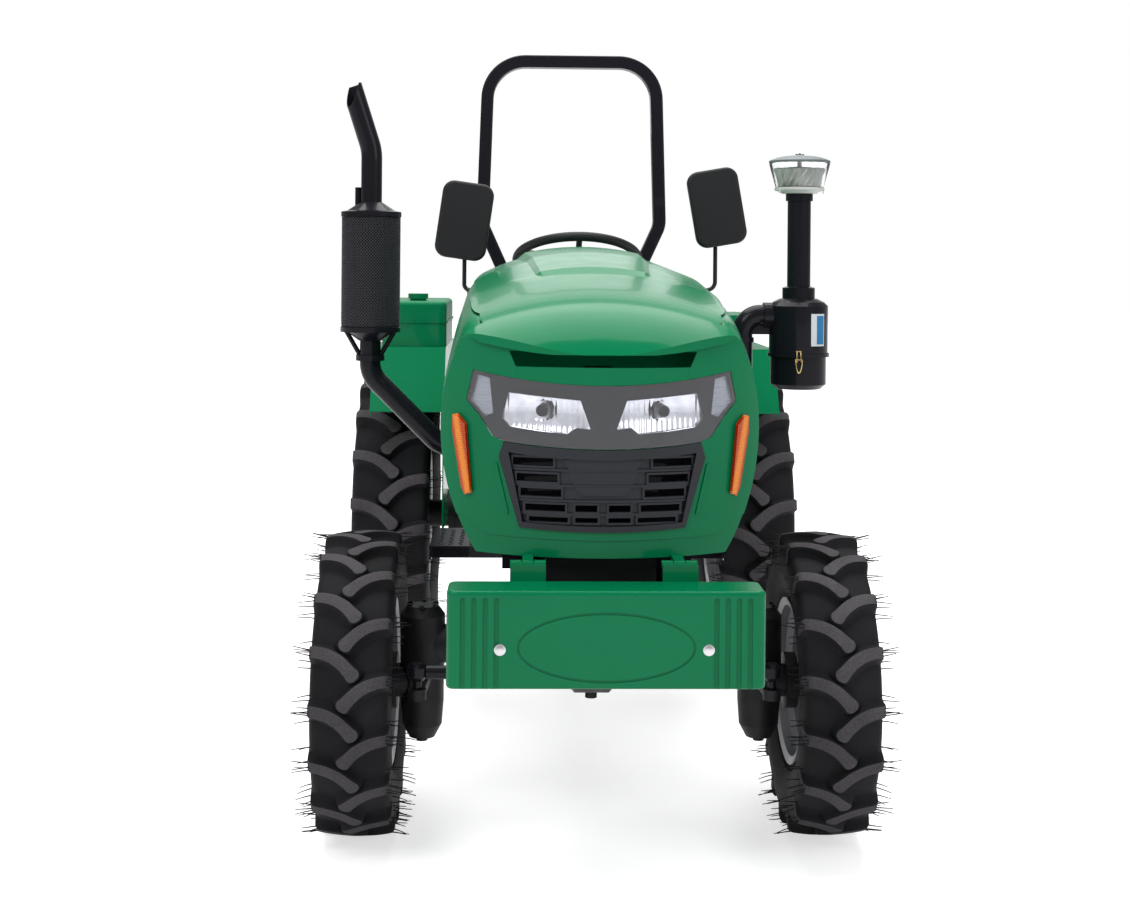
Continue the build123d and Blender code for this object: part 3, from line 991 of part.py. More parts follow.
slope = plate_yz([(COWL_Y0 + 90, 1400), (COWL_Y1 + 5, 1180), (COWL_Y1 + 5, 1400)], -400, 400)
dash = (cowl - cowl_in) - slope
panel_line = [(COWL_Y0 + 90, 1400), (COWL_Y1 + 5, 1180), (COWL_Y1 + 5, 1176), (COWL_Y0 + 90, 1396)]
panel = plate_yz(panel_line, -340, 340) & cowl
dash = dash + panel
dash = dash - block(-400, 400, COWL_Y0 - 1, COWL_Y1 + 1, 690, 851)
dash = dash + block(-110, 110, COWL_Y0, COWL_Y0 + 150, 720 + SEAT_GAP, 866)
column = bar(along(-330), along(-60 - SLIDE_GAP), 26)
dash = dash + column
keep("dash_cowl", dash)

wheel_plane = Plane(origin=WHEEL_AT, x_dir=(1, 0, 0), z_dir=axis_dir)
ring = wheel_plane * revolve(Plane.XZ * (Pos(WHEEL_R, 0) * RegularPolygon(WHEEL_RIM, 16)), axis=Axis.Z)
hub = bar(along(-60), along(-10), 30)
spokes = [bar(along(-28), tuple(wheel_plane.from_local_coords((WHEEL_R * math.cos(a), WHEEL_R * math.sin(a), 0))), 9)
          for a in (math.radians(30), math.radians(150), math.radians(270))]
keep("steering_wheel", joined(ring, hub, *spokes))

SEAT_Y = REAR_Y - 324.0
SEAT_Z = 900.0
seat_base = joined(block(-90, 90, SEAT_Y + 120, SEAT_Y + 330, LIFT_TOP + SEAT_GAP, LIFT_TOP + 22),
                   block(-200, 200, SEAT_Y + 20, SEAT_Y + 340, LIFT_TOP + 20, SEAT_Z))
keep("seat_base", seat_base)
cushion = fillet(block(-225, 225, SEAT_Y, SEAT_Y + 360, SEAT_Z + SEAT_GAP, SEAT_Z + 85.0).edges().filter_by(Axis.Z), 50)
SEAT_TOP = SEAT_Z + 85.0
back = plate_yz([(SEAT_Y + 285, SEAT_TOP + SEAT_GAP), (SEAT_Y + 345, 1385), (SEAT_Y + 405, 1385),
                 (SEAT_Y + 358, SEAT_TOP + SEAT_GAP)], -205, 205)
keep("seat", group(cushion, back))

HOOP_X = 304.0
HOOP_TOP = 2009.0
HOOP_Y = REAR_Y + 121.0
LEG_X = 222.0
HOOP_FOOT = REAR_Z + 112.0
hoop_points = [(-LEG_X, HOOP_Y, HOOP_FOOT), (-LEG_X, HOOP_Y, 1270), (-HOOP_X, HOOP_Y, 1450), (-HOOP_X + 18, HOOP_Y, HOOP_TOP),
               (HOOP_X - 18, HOOP_Y, HOOP_TOP), (HOOP_X, HOOP_Y, 1450), (LEG_X, HOOP_Y, 1270), (LEG_X, HOOP_Y, HOOP_FOOT)]
hoop = bent_bar(hoop_points, [80, 80, 130, 130, 80, 80], RectangleRounded(42, 58, 6))
feet = [block(*sorted((side * 190, side * 255)), HOOP_Y - 160, HOOP_Y + 40, REAR_Z + 60, HOOP_FOOT) - PARTS["rear_axle"]
        for side in (1, -1)]
keep("rops", joined(hoop, *feet))

# ---------------------------------------------------------------- exhaust, air cleaner, mirrors, controls
MUFFLER_X = -548.0
MUFFLER_Z = (1146.0, 1446.0)
MUFFLER_R = 69.0
PIPE_R = 26.0
PIPE_WALL = 3.0
BAND_R = 75.0                 # end bands of the muffler's guard
BAND_H = 12.0
ELBOW_Z = 1600.0
TIP = (-52.0, 1762.0)         # stack's end: offset across, and height
TIP_CUT = (-0.80, -0.52, 0.30)           # the slanted mouth faces this way
muffler_profile = [(0, MUFFLER_Z[0] - 22), (30, MUFFLER_Z[0] - 22), (58, MUFFLER_Z[0]), (BAND_R, MUFFLER_Z[0]),
                   (BAND_R, MUFFLER_Z[0] + BAND_H), (MUFFLER_R, MUFFLER_Z[0] + BAND_H + 3),
                   (MUFFLER_R, MUFFLER_Z[1] - BAND_H - 3), (BAND_R, MUFFLER_Z[1] - BAND_H),
                   (BAND_R, MUFFLER_Z[1]), (60, MUFFLER_Z[1] + 3), (28, MUFFLER_Z[1] + 24), (0, MUFFLER_Z[1] + 24)]
exhaust = turned_up(muffler_profile, MUFFLER_X, MUFFLER_Y)
stack_run = [(MUFFLER_X, MUFFLER_Y, MUFFLER_Z[1]), (MUFFLER_X, MUFFLER_Y, ELBOW_Z),
             (MUFFLER_X + TIP[0], MUFFLER_Y, TIP[1])]
mouth = Plane(origin=(MUFFLER_X + TIP[0] - 4, MUFFLER_Y, TIP[1] - 32), z_dir=TIP_CUT)
beyond = mouth * Box(200, 200, 120, align=(Align.CENTER, Align.CENTER, Align.MIN))
stack = bent_bar(stack_run, [120], Circle(PIPE_R)) - beyond
bore_run = [(MUFFLER_X, MUFFLER_Y, MUFFLER_Z[1] + 40)] + stack_run[1:]
exhaust = joined(exhaust, stack) - bent_bar(bore_run, [120], Circle(PIPE_R - PIPE_WALL))
DOWN_Z = 1040.0
downpipe = bent_bar([(MUFFLER_X, MUFFLER_Y, MUFFLER_Z[0] - 18), (MUFFLER_X, MUFFLER_Y, DOWN_Z),
                     (-368, MUFFLER_Y, EXHAUST_Z), (-PORT_X - SEAT_GAP, MUFFLER_Y, EXHAUST_Z)], [70, 70],
                    Circle(PIPE_R))
flange = bar((MUFFLER_X, MUFFLER_Y, DOWN_Z + 34), (MUFFLER_X, MUFFLER_Y, DOWN_Z + 48), 36)
FLANGE_T = 12.0
port_flange = bar((-PORT_X - SEAT_GAP, MUFFLER_Y, EXHAUST_Z), (-PORT_X - FLANGE_T, MUFFLER_Y, EXHAUST_Z), 34)
stays = [bar((MUFFLER_X + reach, MUFFLER_Y, MUFFLER_Z[0] + 4), (MUFFLER_X + reach * 0.35, MUFFLER_Y, DOWN_Z + 40), 6)
         for reach in (-62, 62)]
side_stub = bar((MUFFLER_X - 34, MUFFLER_Y + 20, MUFFLER_Z[1]), (MUFFLER_X - 34, MUFFLER_Y + 20, MUFFLER_Z[1] + 62), 9)
keep("exhaust", joined(exhaust, downpipe, flange, port_flange, *stays, side_stub))

CLEANER_X = 552.0
CAN_R = 76.0
CAN_Z = (1000.0, 1225.0)
CLAMP_Z = 1084.0              # clamp band of the dust cup
NECK_Z = 1256.0
CAP_Z = 1506.0                # joint plane under the precleaner
can = turned_up([(0, CAN_Z[0]), (58, CAN_Z[0]), (CAN_R - 4, CAN_Z[0] + 12), (CAN_R - 4, CLAMP_Z),
                 (CAN_R + 4, CLAMP_Z), (CAN_R + 4, CLAMP_Z + 9), (CAN_R, CLAMP_Z + 9), (CAN_R, CAN_Z[1] - 10),
                 (CAN_R - 10, CAN_Z[1]), (50, CAN_Z[1] + 8), (42, CAN_Z[1] + 10), (42, NECK_Z + 6),
                 (30, NECK_Z + 10), (30, CAP_Z - 18), (35, CAP_Z - 18), (35, CAP_Z), (0, CAP_Z)], CLEANER_X, CLEANER_Y)
INTAKE_R = 27.0
ELBOW_X = 405.0
SIDE_Z = 1190.0
intake = bent_bar([(CLEANER_X - 60, CLEANER_Y, SIDE_Z), (ELBOW_X, CLEANER_Y, SIDE_Z), (ELBOW_X, CLEANER_Y, INTAKE_Z),
                   (PORT_X + SEAT_GAP, CLEANER_Y, INTAKE_Z)], [48, 60], Circle(INTAKE_R))
cuff = [bar((ELBOW_X, CLEANER_Y, SIDE_Z - 70), (ELBOW_X, CLEANER_Y, SIDE_Z - 58), INTAKE_R + 4),
        bar((CLEANER_X - CAN_R - 16, CLEANER_Y, SIDE_Z), (CLEANER_X - CAN_R + 8, CLEANER_Y, SIDE_Z), INTAKE_R + 6)]
strap = block(ELBOW_X, CLEANER_X - 60, CLEANER_Y - 6, CLEANER_Y + 6, 1140, 1170)
keep("air_cleaner", joined(can, intake, *cuff, strap))
bowl = [(0, 0), (44, 0), (56, 6), (66, 16), (76, 62), (80, 64), (80, 72), (74, 82), (40, 92), (12, 95), (12, 106), (0, 106)]
keep("precleaner", turned_up([(r, CAP_Z + SEAT_GAP + z) for r, z in bowl], CLEANER_X, CLEANER_Y))

mirror_parts = []
MIRRORS = [  # side, centre x, centre z, lean in degrees
    (-1, -335.0, 1440.0, 8.0),
    (1, 392.0, 1484.0, -10.0),
]
MIRROR_Y = FRONT_Y + 880.0
MIRROR_SIZE = (148.0, 26.0, 222.0)
STALK_X = 318.0
STALK_Z = 1235.0
STALK_R = 6.0
for side, mx, mz, lean in MIRRORS:
    shell = Box(*MIRROR_SIZE)
    shell = fillet(shell.edges().filter_by(Axis.Y), 34)
    shell = fillet(shell.faces().sort_by(Axis.Y)[0].edges(), 9)
    shell = Pos(mx, MIRROR_Y - 30, mz) * (Rot(0, lean, 0) * shell)
    bend = min(24.0, 0.9 * abs(mx - side * STALK_X))
    stalk = bent_bar([(side * STALK_X, MIRROR_Y, STALK_Z), (mx, MIRROR_Y, STALK_Z + 15), (mx, MIRROR_Y, mz)],
                     [bend], Circle(STALK_R))
    boss = bar((side * (STALK_X + 8), MIRROR_Y, STALK_Z), (side * 255, MIRROR_Y, STALK_Z), 12) - PARTS["dash_cowl"]
    boss = boss.solids().sort_by(Axis.X)[-1 if side > 0 else 0]
    neck = bar((mx, MIRROR_Y, mz), (mx, MIRROR_Y - 28, mz), 9)
    mirror_parts.append(joined(shell, stalk, neck, boss))
keep("mirrors", group(*mirror_parts))

pedal_parts = []
PEDALS = [  # x, y behind the front axle
    (230.0, 930.0), (-215.0, 930.0), (-300.0, 930.0),
]
for px, py in PEDALS:
    pad = Pos(px, FRONT_Y + py, 650) * (Rot(35, 0, 0) * Box(66, 76, 8))
    lever = bar((px, FRONT_Y + py, 650), (px, FRONT_Y + py + 70, PLATE_Z + 8), 8)
    foot = block(px - 14, px + 14, FRONT_Y + py + 52, FRONT_Y + py + 88, PLATE_Z + SEAT_GAP, PLATE_Z + 22)
    pedal_parts.append(joined(pad, lever, foot))
LEVERS = [  # foot x, y, z, top x, y, z (y behind the front axle)
    (0.0, 1130.0, 720.0, 60.0, 1180.0, 960.0),
    (-60.0, 1230.0, 720.0, -110.0, 1270.0, 900.0),
]
for fx, fy, fz, tx, ty, tz in LEVERS:
    stick = bar((fx, FRONT_Y + fy, fz + 8), (tx, FRONT_Y + ty, tz), 7)
    foot = bar((fx, FRONT_Y + fy, fz + SEAT_GAP), (fx, FRONT_Y + fy, fz + 18), 18)
    knob = Pos(tx, FRONT_Y + ty, tz) * Sphere(20)
    pedal_parts.append(joined(stick, knob, foot))
keep("controls", group(*pedal_parts))

# ---------------------------------------------------------------- write the parts
os.makedirs("parts", exist_ok=True)
for name, shape in PARTS.items():
    export_step(shape, "parts/" + name + ".step")
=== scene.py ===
import math
import json
import random

import bmesh
import bpy
from mathutils import Matrix, Vector


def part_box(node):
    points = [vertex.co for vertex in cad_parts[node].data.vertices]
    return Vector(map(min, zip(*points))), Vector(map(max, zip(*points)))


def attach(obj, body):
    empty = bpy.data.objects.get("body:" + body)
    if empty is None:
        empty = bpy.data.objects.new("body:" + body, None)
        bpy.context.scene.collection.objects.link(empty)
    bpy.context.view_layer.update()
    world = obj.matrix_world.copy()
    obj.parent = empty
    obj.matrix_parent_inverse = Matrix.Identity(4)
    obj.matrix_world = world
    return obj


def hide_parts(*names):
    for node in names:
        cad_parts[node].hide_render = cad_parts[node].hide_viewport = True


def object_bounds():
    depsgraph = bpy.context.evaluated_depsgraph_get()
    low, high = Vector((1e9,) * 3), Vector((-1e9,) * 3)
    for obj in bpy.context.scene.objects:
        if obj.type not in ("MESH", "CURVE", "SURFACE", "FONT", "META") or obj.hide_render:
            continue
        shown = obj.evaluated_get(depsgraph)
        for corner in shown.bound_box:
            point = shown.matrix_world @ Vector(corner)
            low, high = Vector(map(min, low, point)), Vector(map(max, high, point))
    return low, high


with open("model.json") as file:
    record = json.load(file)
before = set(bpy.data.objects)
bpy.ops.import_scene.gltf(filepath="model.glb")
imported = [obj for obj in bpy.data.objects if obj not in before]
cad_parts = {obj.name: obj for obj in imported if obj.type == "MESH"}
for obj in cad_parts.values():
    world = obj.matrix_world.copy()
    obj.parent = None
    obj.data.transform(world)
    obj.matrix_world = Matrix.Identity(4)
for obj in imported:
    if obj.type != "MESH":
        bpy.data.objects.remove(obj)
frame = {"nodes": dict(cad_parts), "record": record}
CAD_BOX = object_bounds()
NODES = frame["nodes"]
MM = 0.001

# Metres: -Y is the tractor's front, +X its left, the floor is z = 0.


def middle(node):
    """The middle of a CAD node's box."""
    low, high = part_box(node)
    return (low + high) / 2.0


def new_object(name, data):
    made = bpy.data.objects.new(name, data)
    bpy.context.scene.collection.objects.link(made)
    return made


FRONT_Y = middle("front_tyre_left").y

# ---- camera
CAMERA_AHEAD = 3.758  # camera ahead of the front axle
CAMERA_HEIGHT = 1.329
CAMERA_X = -0.176
CAMERA_TURN = -0.0284
CAMERA_ROLL = 0.0081
CAMERA_LENS = 51.04
CAMERA_SHIFT_Y = -0.168


def make_camera():
    data = bpy.data.cameras.new("camera")
    data.sensor_width = 36.0
    data.lens = CAMERA_LENS
    data.shift_y = CAMERA_SHIFT_Y
    data.clip_end = 100.0
    camera = new_object("camera", data)
    look = Matrix.Rotation(CAMERA_TURN, 4, "Z") @ Matrix.Rotation(math.pi / 2, 4, "X")
    spin = Matrix.Rotation(CAMERA_ROLL, 4, "Z")
    place = Matrix.Translation((CAMERA_X, FRONT_Y - CAMERA_AHEAD, CAMERA_HEIGHT))
    camera.matrix_world = place @ look @ spin
    bpy.context.scene.camera = camera


make_camera()

# ---- material helpers


class Nodes:
    """Short calls for a tree's nodes."""

    def __init__(self, tree):
        self.tree = tree

    def node(self, kind, **values):
        made = self.tree.nodes.new(kind)
        for key, value in values.items():
            if key in made.inputs:
                made.inputs[key].default_value = value
            else:
                setattr(made, key, value)
        return made

    def link(self, source, target):
        self.tree.links.new(source, target)

    def feed(self, socket, value):
        """A socket takes a number, a colour or another node's output."""
        if isinstance(value, (int, float)):
            socket.default_value = value
        elif isinstance(value, tuple):
            socket.default_value = (*value, 1.0)
        else:
            self.link(value, socket)

    def remap(self, source, low, high, start=0.0, end=1.0):
        made = self.node("ShaderNodeMapRange")
        for key, value in (("From Min", start), ("From Max", end), ("To Min", low), ("To Max", high)):
            made.inputs[key].default_value = value
        self.link(source, made.inputs["Value"])
        return made.outputs["Result"]

    def maths(self, operation, a, b=0.0):
        made = self.node("ShaderNodeMath")
        made.operation = operation
        for socket, value in zip(made.inputs, (a, b)):
            self.feed(socket, value)
        return made.outputs[0]


class Finish(Nodes):
    """A material and its nodes."""

    def __init__(self, name):
        self.mat = bpy.data.materials.new(name)
        self.mat.use_nodes = True
        super().__init__(self.mat.node_tree)
        self.bsdf = self.tree.nodes["Principled BSDF"]
        self.coords = None

    def place(self):
        if self.coords is None:
            self.coords = self.node("ShaderNodeTexCoord").outputs["Object"]
        return self.coords

    def noise(self, scale, detail=4.0, rough=0.5):
        made = self.node("ShaderNodeTexNoise", Scale=scale, Detail=detail, Roughness=rough)
        self.link(self.place(), made.inputs["Vector"])
        return made.outputs["Fac"]

    def cells(self, scale):
        made = self.node("ShaderNodeTexVoronoi", Scale=scale)
        self.link(self.place(), made.inputs["Vector"])
        return made.outputs["Distance"]

    def ramp(self, source, low, high, start, end):
        """A factor turned into a colour between low and high."""
        made = self.node("ShaderNodeValToRGB")
        made.color_ramp.elements[0].position = start
        made.color_ramp.elements[1].position = end
        made.color_ramp.elements[0].color = (*low, 1.0)
        made.color_ramp.elements[1].color = (*high, 1.0)
        self.link(source, made.inputs["Fac"])
        return made.outputs["Color"]

    def mix(self, factor, a, b):
        """Two colours mixed by a factor."""
        made = self.node("ShaderNodeMix", data_type="RGBA")
        self.link(factor, made.inputs["Factor"])
        self.feed(made.inputs[6], a)
        self.feed(made.inputs[7], b)
        return made.outputs[2]

    def bump(self, height, strength, distance):
        made = self.node("ShaderNodeBump", Strength=strength, Distance=distance)
        self.link(height, made.inputs["Height"])
        self.link(made.outputs["Normal"], self.bsdf.inputs["Normal"])

    def set(self, **values):
        names = {"color": "Base Color", "rough": "Roughness", "metal": "Metallic", "coat": "Coat Weight",
                 "coat_rough": "Coat Roughness", "ior": "IOR", "glass": "Transmission Weight",
                 "specular": "Specular IOR Level"}
        for key, value in values.items():
            self.feed(self.bsdf.inputs[names[key]], value)


def shade(colour, share):
    return tuple(channel * share for channel in colour)


# ---- materials


def paint(name, colour, rough=0.22, coat=0.12, peel=0.015):
    """Sprayed enamel: slight mottle, orange peel and a clear top."""
    finish = Finish(name)
    finish.set(color=finish.ramp(finish.noise(3.0), shade(colour, 0.93), shade(colour, 1.07), 0.3, 0.7),
               rough=finish.remap(finish.noise(14.0), rough - 0.04, rough + 0.06),
               coat=coat, coat_rough=0.04, specular=0.08)
    finish.bump(finish.noise(260.0, 2.0), peel, 0.001)
    return finish.mat


def cast_metal(name, colour, rough=0.5):
    """Sand-cast iron under paint: grainy and slightly dusty."""
    finish = Finish(name)
    tone = finish.ramp(finish.noise(9.0, 6.0), shade(colour, 0.75), shade(colour, 1.35), 0.35, 0.7)
    finish.set(color=tone, rough=finish.remap(finish.noise(30.0), rough - 0.1, rough + 0.12), specular=0.25)
    finish.bump(finish.noise(420.0, 5.0), 0.35, 0.0012)
    return finish.mat


def moulded(name, colour, rough=0.42, grain=700.0, depth=0.25):
    """Moulded plastic with a fine spark-eroded grain."""
    finish = Finish(name)
    finish.set(color=finish.ramp(finish.noise(5.0), shade(colour, 0.9), shade(colour, 1.12), 0.3, 0.7),
               rough=finish.remap(finish.noise(20.0), rough - 0.05, rough + 0.07), specular=0.25)
    finish.bump(finish.cells(grain), depth, 0.0004)
    return finish.mat


def steel(name, colour, rough=0.3):
    """Bright metal with fine turning marks."""
    finish = Finish(name)
    finish.set(color=finish.ramp(finish.noise(40.0), shade(colour, 0.85), shade(colour, 1.1), 0.3, 0.7),
               rough=finish.remap(finish.noise(80.0, 6.0), rough - 0.08, rough + 0.12), metal=1.0)
    finish.bump(finish.noise(600.0), 0.08, 0.0004)
    return finish.mat


def rubber(name, colour, rough=0.72):
    """Tyre rubber: faint bloom, a fine pitted skin."""
    finish = Finish(name)
    bloom = finish.ramp(finish.noise(6.0, 8.0, 0.65), shade(colour, 0.7), shade(colour, 1.5), 0.35, 0.75)
    finish.set(color=bloom, rough=finish.remap(finish.noise(25.0), rough - 0.1, rough + 0.1), specular=0.15)
    finish.bump(finish.noise(500.0, 6.0), 0.3, 0.0008)
    return finish.mat


def stippled(name, colour):
    """The tops of the tread lugs: rough-moulded, dusty brown-grey rubber."""
    finish = Finish(name)
    dust = finish.ramp(finish.noise(7.0, 8.0, 0.7), shade(colour, 0.6), shade(colour, 1.4), 0.35, 0.7)
    grit = finish.ramp(finish.noise(420.0), shade(colour, 0.35), shade(colour, 1.5), 0.3, 0.75)
    finish.set(color=finish.mix(finish.noise(160.0), dust, grit), rough=0.85, specular=0.15)
    finish.bump(finish.noise(380.0, 6.0, 0.7), 0.9, 0.0016)
    return finish.mat


MARKER_LOW = (0.280, 0.834)  # foot of the marker lamps' middle line: x, z
MARKER_SLOPE = 0.175
# MARKER_HALF: the width over which the lens's painted highlight turns into painted shade.
MARKER_HALF = 0.013
MARKER_RIBS = 1400.0  # ribs across the lens, radians per metre


def amber(name, painted_highlight_amber, deep):
    """Amber lens: a painted highlight, a lighter amber, down its middle and painted shade, a deeper amber, at
    its sides; finely ribbed across.
    """
    finish = Finish(name)
    parts = finish.node("ShaderNodeSeparateXYZ")
    finish.link(finish.place(), parts.inputs[0])
    # Painted light: the distance from the lamp's middle line fades a painted highlight (lighter amber) into
    # painted shade (deeper amber).
    rise = finish.maths("SUBTRACT", parts.outputs["Z"], MARKER_LOW[1])
    line = finish.maths("ADD", finish.maths("MULTIPLY", rise, MARKER_SLOPE), MARKER_LOW[0])
    across = finish.maths("ABSOLUTE", parts.outputs["X"])
    away = finish.maths("ABSOLUTE", finish.maths("SUBTRACT", across, line))
    share = finish.maths("DIVIDE", away, MARKER_HALF)
    finish.set(color=finish.ramp(share, painted_highlight_amber, deep, 0.25, 0.75), rough=0.14)
    ribs = finish.maths("SINE", finish.maths("MULTIPLY", parts.outputs["Z"], MARKER_RIBS))
    finish.bump(ribs, 0.5, 0.0006)
    return finish.mat


def clear(name, colour, rough=0.03):
    """Clear moulded plastic or glass."""
    finish = Finish(name)
    finish.set(color=colour, rough=rough, glass=1.0, ior=1.45)
    return finish.mat


GREEN = (0.0005, 0.185, 0.070)
MATERIALS = {
    "green_paint": paint("green_paint", GREEN),
    "green_tank": paint("green_tank", shade(GREEN, 0.95), rough=0.36),
    "black_paint": paint("black_paint", (0.009, 0.009, 0.013), rough=0.30, coat=0.15, peel=0.05),
    "casting": cast_metal("casting", (0.013, 0.013, 0.015)),
    "engine_paint": cast_metal("engine_paint", (0.030, 0.032, 0.036), rough=0.45),
    "rim_silver": paint("rim_silver", (0.42, 0.42, 0.44), rough=0.34, coat=0.2, peel=0.06),
    "tyre_rubber": rubber("tyre_rubber", (0.013, 0.013, 0.015)),
    "grille_plastic": moulded("grille_plastic", (0.022, 0.023, 0.029), rough=0.36),
    "lamp_lens": clear("lamp_lens", (0.80, 0.81, 0.86)),
    "lamp_silver": moulded("lamp_silver", (0.30, 0.31, 0.34), rough=0.30, grain=500.0, depth=0.1),
    # The amber lens's two colours: its painted highlight, then its painted shade.
    "amber_lens": amber("amber_lens", (0.92, 0.26, 0.015), (0.52, 0.045, 0.0)),
    "bowl": clear("bowl", (0.92, 0.94, 0.94)),
    "soft_black": moulded("soft_black", (0.014, 0.014, 0.016), rough=0.5, grain=900.0, depth=0.4),
    "seat_vinyl": moulded("seat_vinyl", (0.02, 0.02, 0.022), rough=0.5, grain=420.0, depth=0.6),
    "bright_steel": steel("bright_steel", (0.55, 0.55, 0.56)),
    "lamp_dark": moulded("lamp_dark", (0.010, 0.010, 0.013), rough=0.16, grain=300.0, depth=0.02),
}
REFLECTOR = steel("reflector", (0.86, 0.86, 0.85), rough=0.12)
BULB_GREY = steel("bulb_grey", (0.16, 0.155, 0.15), rough=0.35)
STRIP_CLEAR = moulded("strip_clear", (0.50, 0.52, 0.55), rough=0.12, grain=300.0, depth=0.1)
PALE_PLASTIC = moulded("pale_plastic", (0.62, 0.63, 0.60), rough=0.4, grain=500.0, depth=0.15)
LID_GREY = moulded("lid_grey", (0.14, 0.16, 0.165), rough=0.42, grain=600.0, depth=0.3)
GILT = steel("gilt", (0.62, 0.44, 0.20), rough=0.28)
LABEL_WHITE = moulded("label_white", (0.68, 0.72, 0.75), rough=0.35, grain=900.0, depth=0.05)
LABEL_BLUE = moulded("label_blue", (0.03, 0.20, 0.42), rough=0.35, grain=900.0, depth=0.05)
MIRROR = steel("mirror", (0.80, 0.82, 0.83), rough=0.04)
LUG_RUBBER = stippled("lug_rubber", (0.085, 0.078, 0.084))
GUARD_BLACK = paint("guard_black", (0.055, 0.055, 0.063), rough=0.4, coat=0.1, peel=0.03)


def dress(node, slot):
    mesh = NODES[node].data
    mesh.materials.clear()
    mesh.materials.append(MATERIALS[slot])


for row in frame["record"]["subparts"]:
    dress(row["node"], row["material_slot"])

# ---- mesh helpers


def mesh_from(name, points, faces, materials, indices=None):
    mesh = bpy.data.meshes.new(name)
    mesh.from_pydata([tuple(p) for p in points], [], faces)
    for material in materials:
        mesh.materials.append(material)
    if indices:
        mesh.polygons.foreach_set("material_index", indices)
    mesh.polygons.foreach_set("use_smooth", [True] * len(mesh.polygons))
    mesh.update()
    return mesh


def tidy_normals(mesh):
    build = bmesh.new()
    build.from_mesh(mesh)
    bmesh.ops.recalc_face_normals(build, faces=build.faces)
    build.to_mesh(mesh)
    build.free()


def between(table, place):
    """Straight interpolation in a table whose first column rises."""
    for low, high in zip(table, table[1:]):
        if place <= high[0]:
            share = (place - low[0]) / (high[0] - low[0])
            return tuple(a + share * (b - a) for a, b in zip(low[1:], high[1:]))
    return tuple(table[-1][1:])


def eased(table, place):
    """Smooth interpolation (Catmull-Rom) in a table whose first column rises."""
    last = len(table) - 1
    for i in range(last):
        if place <= table[i + 1][0] or i == last - 1:
            t = (place - table[i][0]) / (table[i + 1][0] - table[i][0])
            rows = [table[max(i - 1, 0)], table[i], table[i + 1], table[min(i + 2, last)]]
            out = []
            for a, b, c, d in zip(*[row[1:] for row in rows]):
                out.append(0.5 * (2 * b + (c - a) * t + (2 * a - 5 * b + 4 * c - d) * t * t +
                                  (3 * b - a - 3 * c + d) * t ** 3))
            return tuple(out)


# ---- piece helpers


def place_piece(piece, body, slot, *nodes):
    """Every new piece rides on a body and may stand for CAD nodes, which it hides; slot is not used."""
    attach(piece, body)
    if nodes:
        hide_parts(*nodes)


def add_piece(name, parts, body, slot, *nodes, look=None):
    """Several (points, faces) forms as one piece, sharp where its faces turn sharply."""
    points, faces = [], []
    for part_points, part_faces in parts:
        base = len(points)
        points += part_points
        faces += [tuple(base + i for i in face) for face in part_faces]
    mesh = mesh_from(name, points, faces, [look or MATERIALS[slot]])
    tidy_normals(mesh)
    piece = new_object(name, mesh)
    edges = piece.modifiers.new("edges", "EDGE_SPLIT")
    edges.split_angle = math.radians(38)
    place_piece(piece, body, slot, *nodes)


def frame_for(axis):
    """An axis and two directions square to it."""
    axis = Vector(axis).normalized()
    aside = axis.cross(Vector((0, 0, 1)) if abs(axis.z) < 0.9 else Vector((1, 0, 0))).normalized()
    return axis, aside, axis.cross(aside)


def round_of(count, share=0.0):
    """The angles of a full turn in equal steps."""
    return [2 * math.pi * (k + share) / count for k in range(count)]


def bands(rows, sides, closed=True, base=0):
    """Faces between rows of points, and the two end faces of a closed tube."""
    faces = []
    for row in range(rows - 1):
        first = base + row * sides
        for k in range(sides):
            a, b = first + k, first + (k + 1) % sides
            faces.append((a, b, b + sides, a + sides))
    if closed:
        faces.append(tuple(range(sides)))
        faces.append(tuple((rows - 1) * sides + k for k in range(sides)))
    return faces


def turned(profile, centre, axis, sides):
    """A lathed form: profile rows are (radius, distance along the axis)."""
    along, aside, other = frame_for(axis)
    centre = Vector(centre)
    points = [centre + along * distance + (aside * math.cos(turn) + other * math.sin(turn)) * radius
              for radius, distance in profile for turn in round_of(sides)]
    return points, bands(len(profile), sides)


def in_mm(rows):
    return [tuple(value * MM for value in row) for row in rows]


def hex_bolt(spot, axis, size):
    """A bolt head on its washer, standing on the spot; size is the head's half width."""
    washer = [(1.5, 0), (1.5, 0.14), (1.4, 0.2)]
    head = [(1.0, 0.18), (1.0, 0.6884), (0.86, 0.8)]
    return [turned([(r * size, d * size) for r, d in rows], spot, axis, sides)
            for rows, sides in ((washer, 20), (head, 6))]


def pipe(path, radius, sides=8):
    """A round tube along points, with closed ends; radius is one size or one for each point."""
    rows = [Vector(p) for p in path]
    sizes = radius if isinstance(radius, list) else [radius] * len(rows)
    points, aside = [], None
    for i, spot in enumerate(rows):
        run = (rows[min(i + 1, len(rows) - 1)] - rows[max(i - 1, 0)]).normalized()
        if aside is None:
            aside = frame_for(run)[1]
        aside = (aside - run * aside.dot(run)).normalized()
        other = run.cross(aside)
        points += [spot + (aside * math.cos(turn) + other * math.sin(turn)) * sizes[i]
                   for turn in round_of(sides)]
    return points, bands(len(rows), sides)


def curve_points(points, count):
    """A smooth line through a few points."""
    table = [(float(i), *p) for i, p in enumerate(points)]
    last = len(points) - 1
    return [eased(table, last * i / count) for i in range(count + 1)]


def rounded(half_x, half_y, corner, out=0.0):
    """Points round a rectangle with rounded corners; out widens the corners' arcs."""
    ring = []
    for sx, sy, start in ((1, 1, 0), (-1, 1, 90), (-1, -1, 180), (1, -1, 270)):
        for k in range(7):
            turn = math.radians(start + 15 * k)
            ring.append((sx * (half_x - corner) + (corner + out) * math.cos(turn),
                         sy * (half_y - corner) + (corner + out) * math.sin(turn)))
    return ring


# ---- tyres
WIDEST = 1.6  # place of the tyre's widest point
WIDEST_RISE = 0.61
LIP_RISE = 0.12  # where the sidewall meets the rim's lip
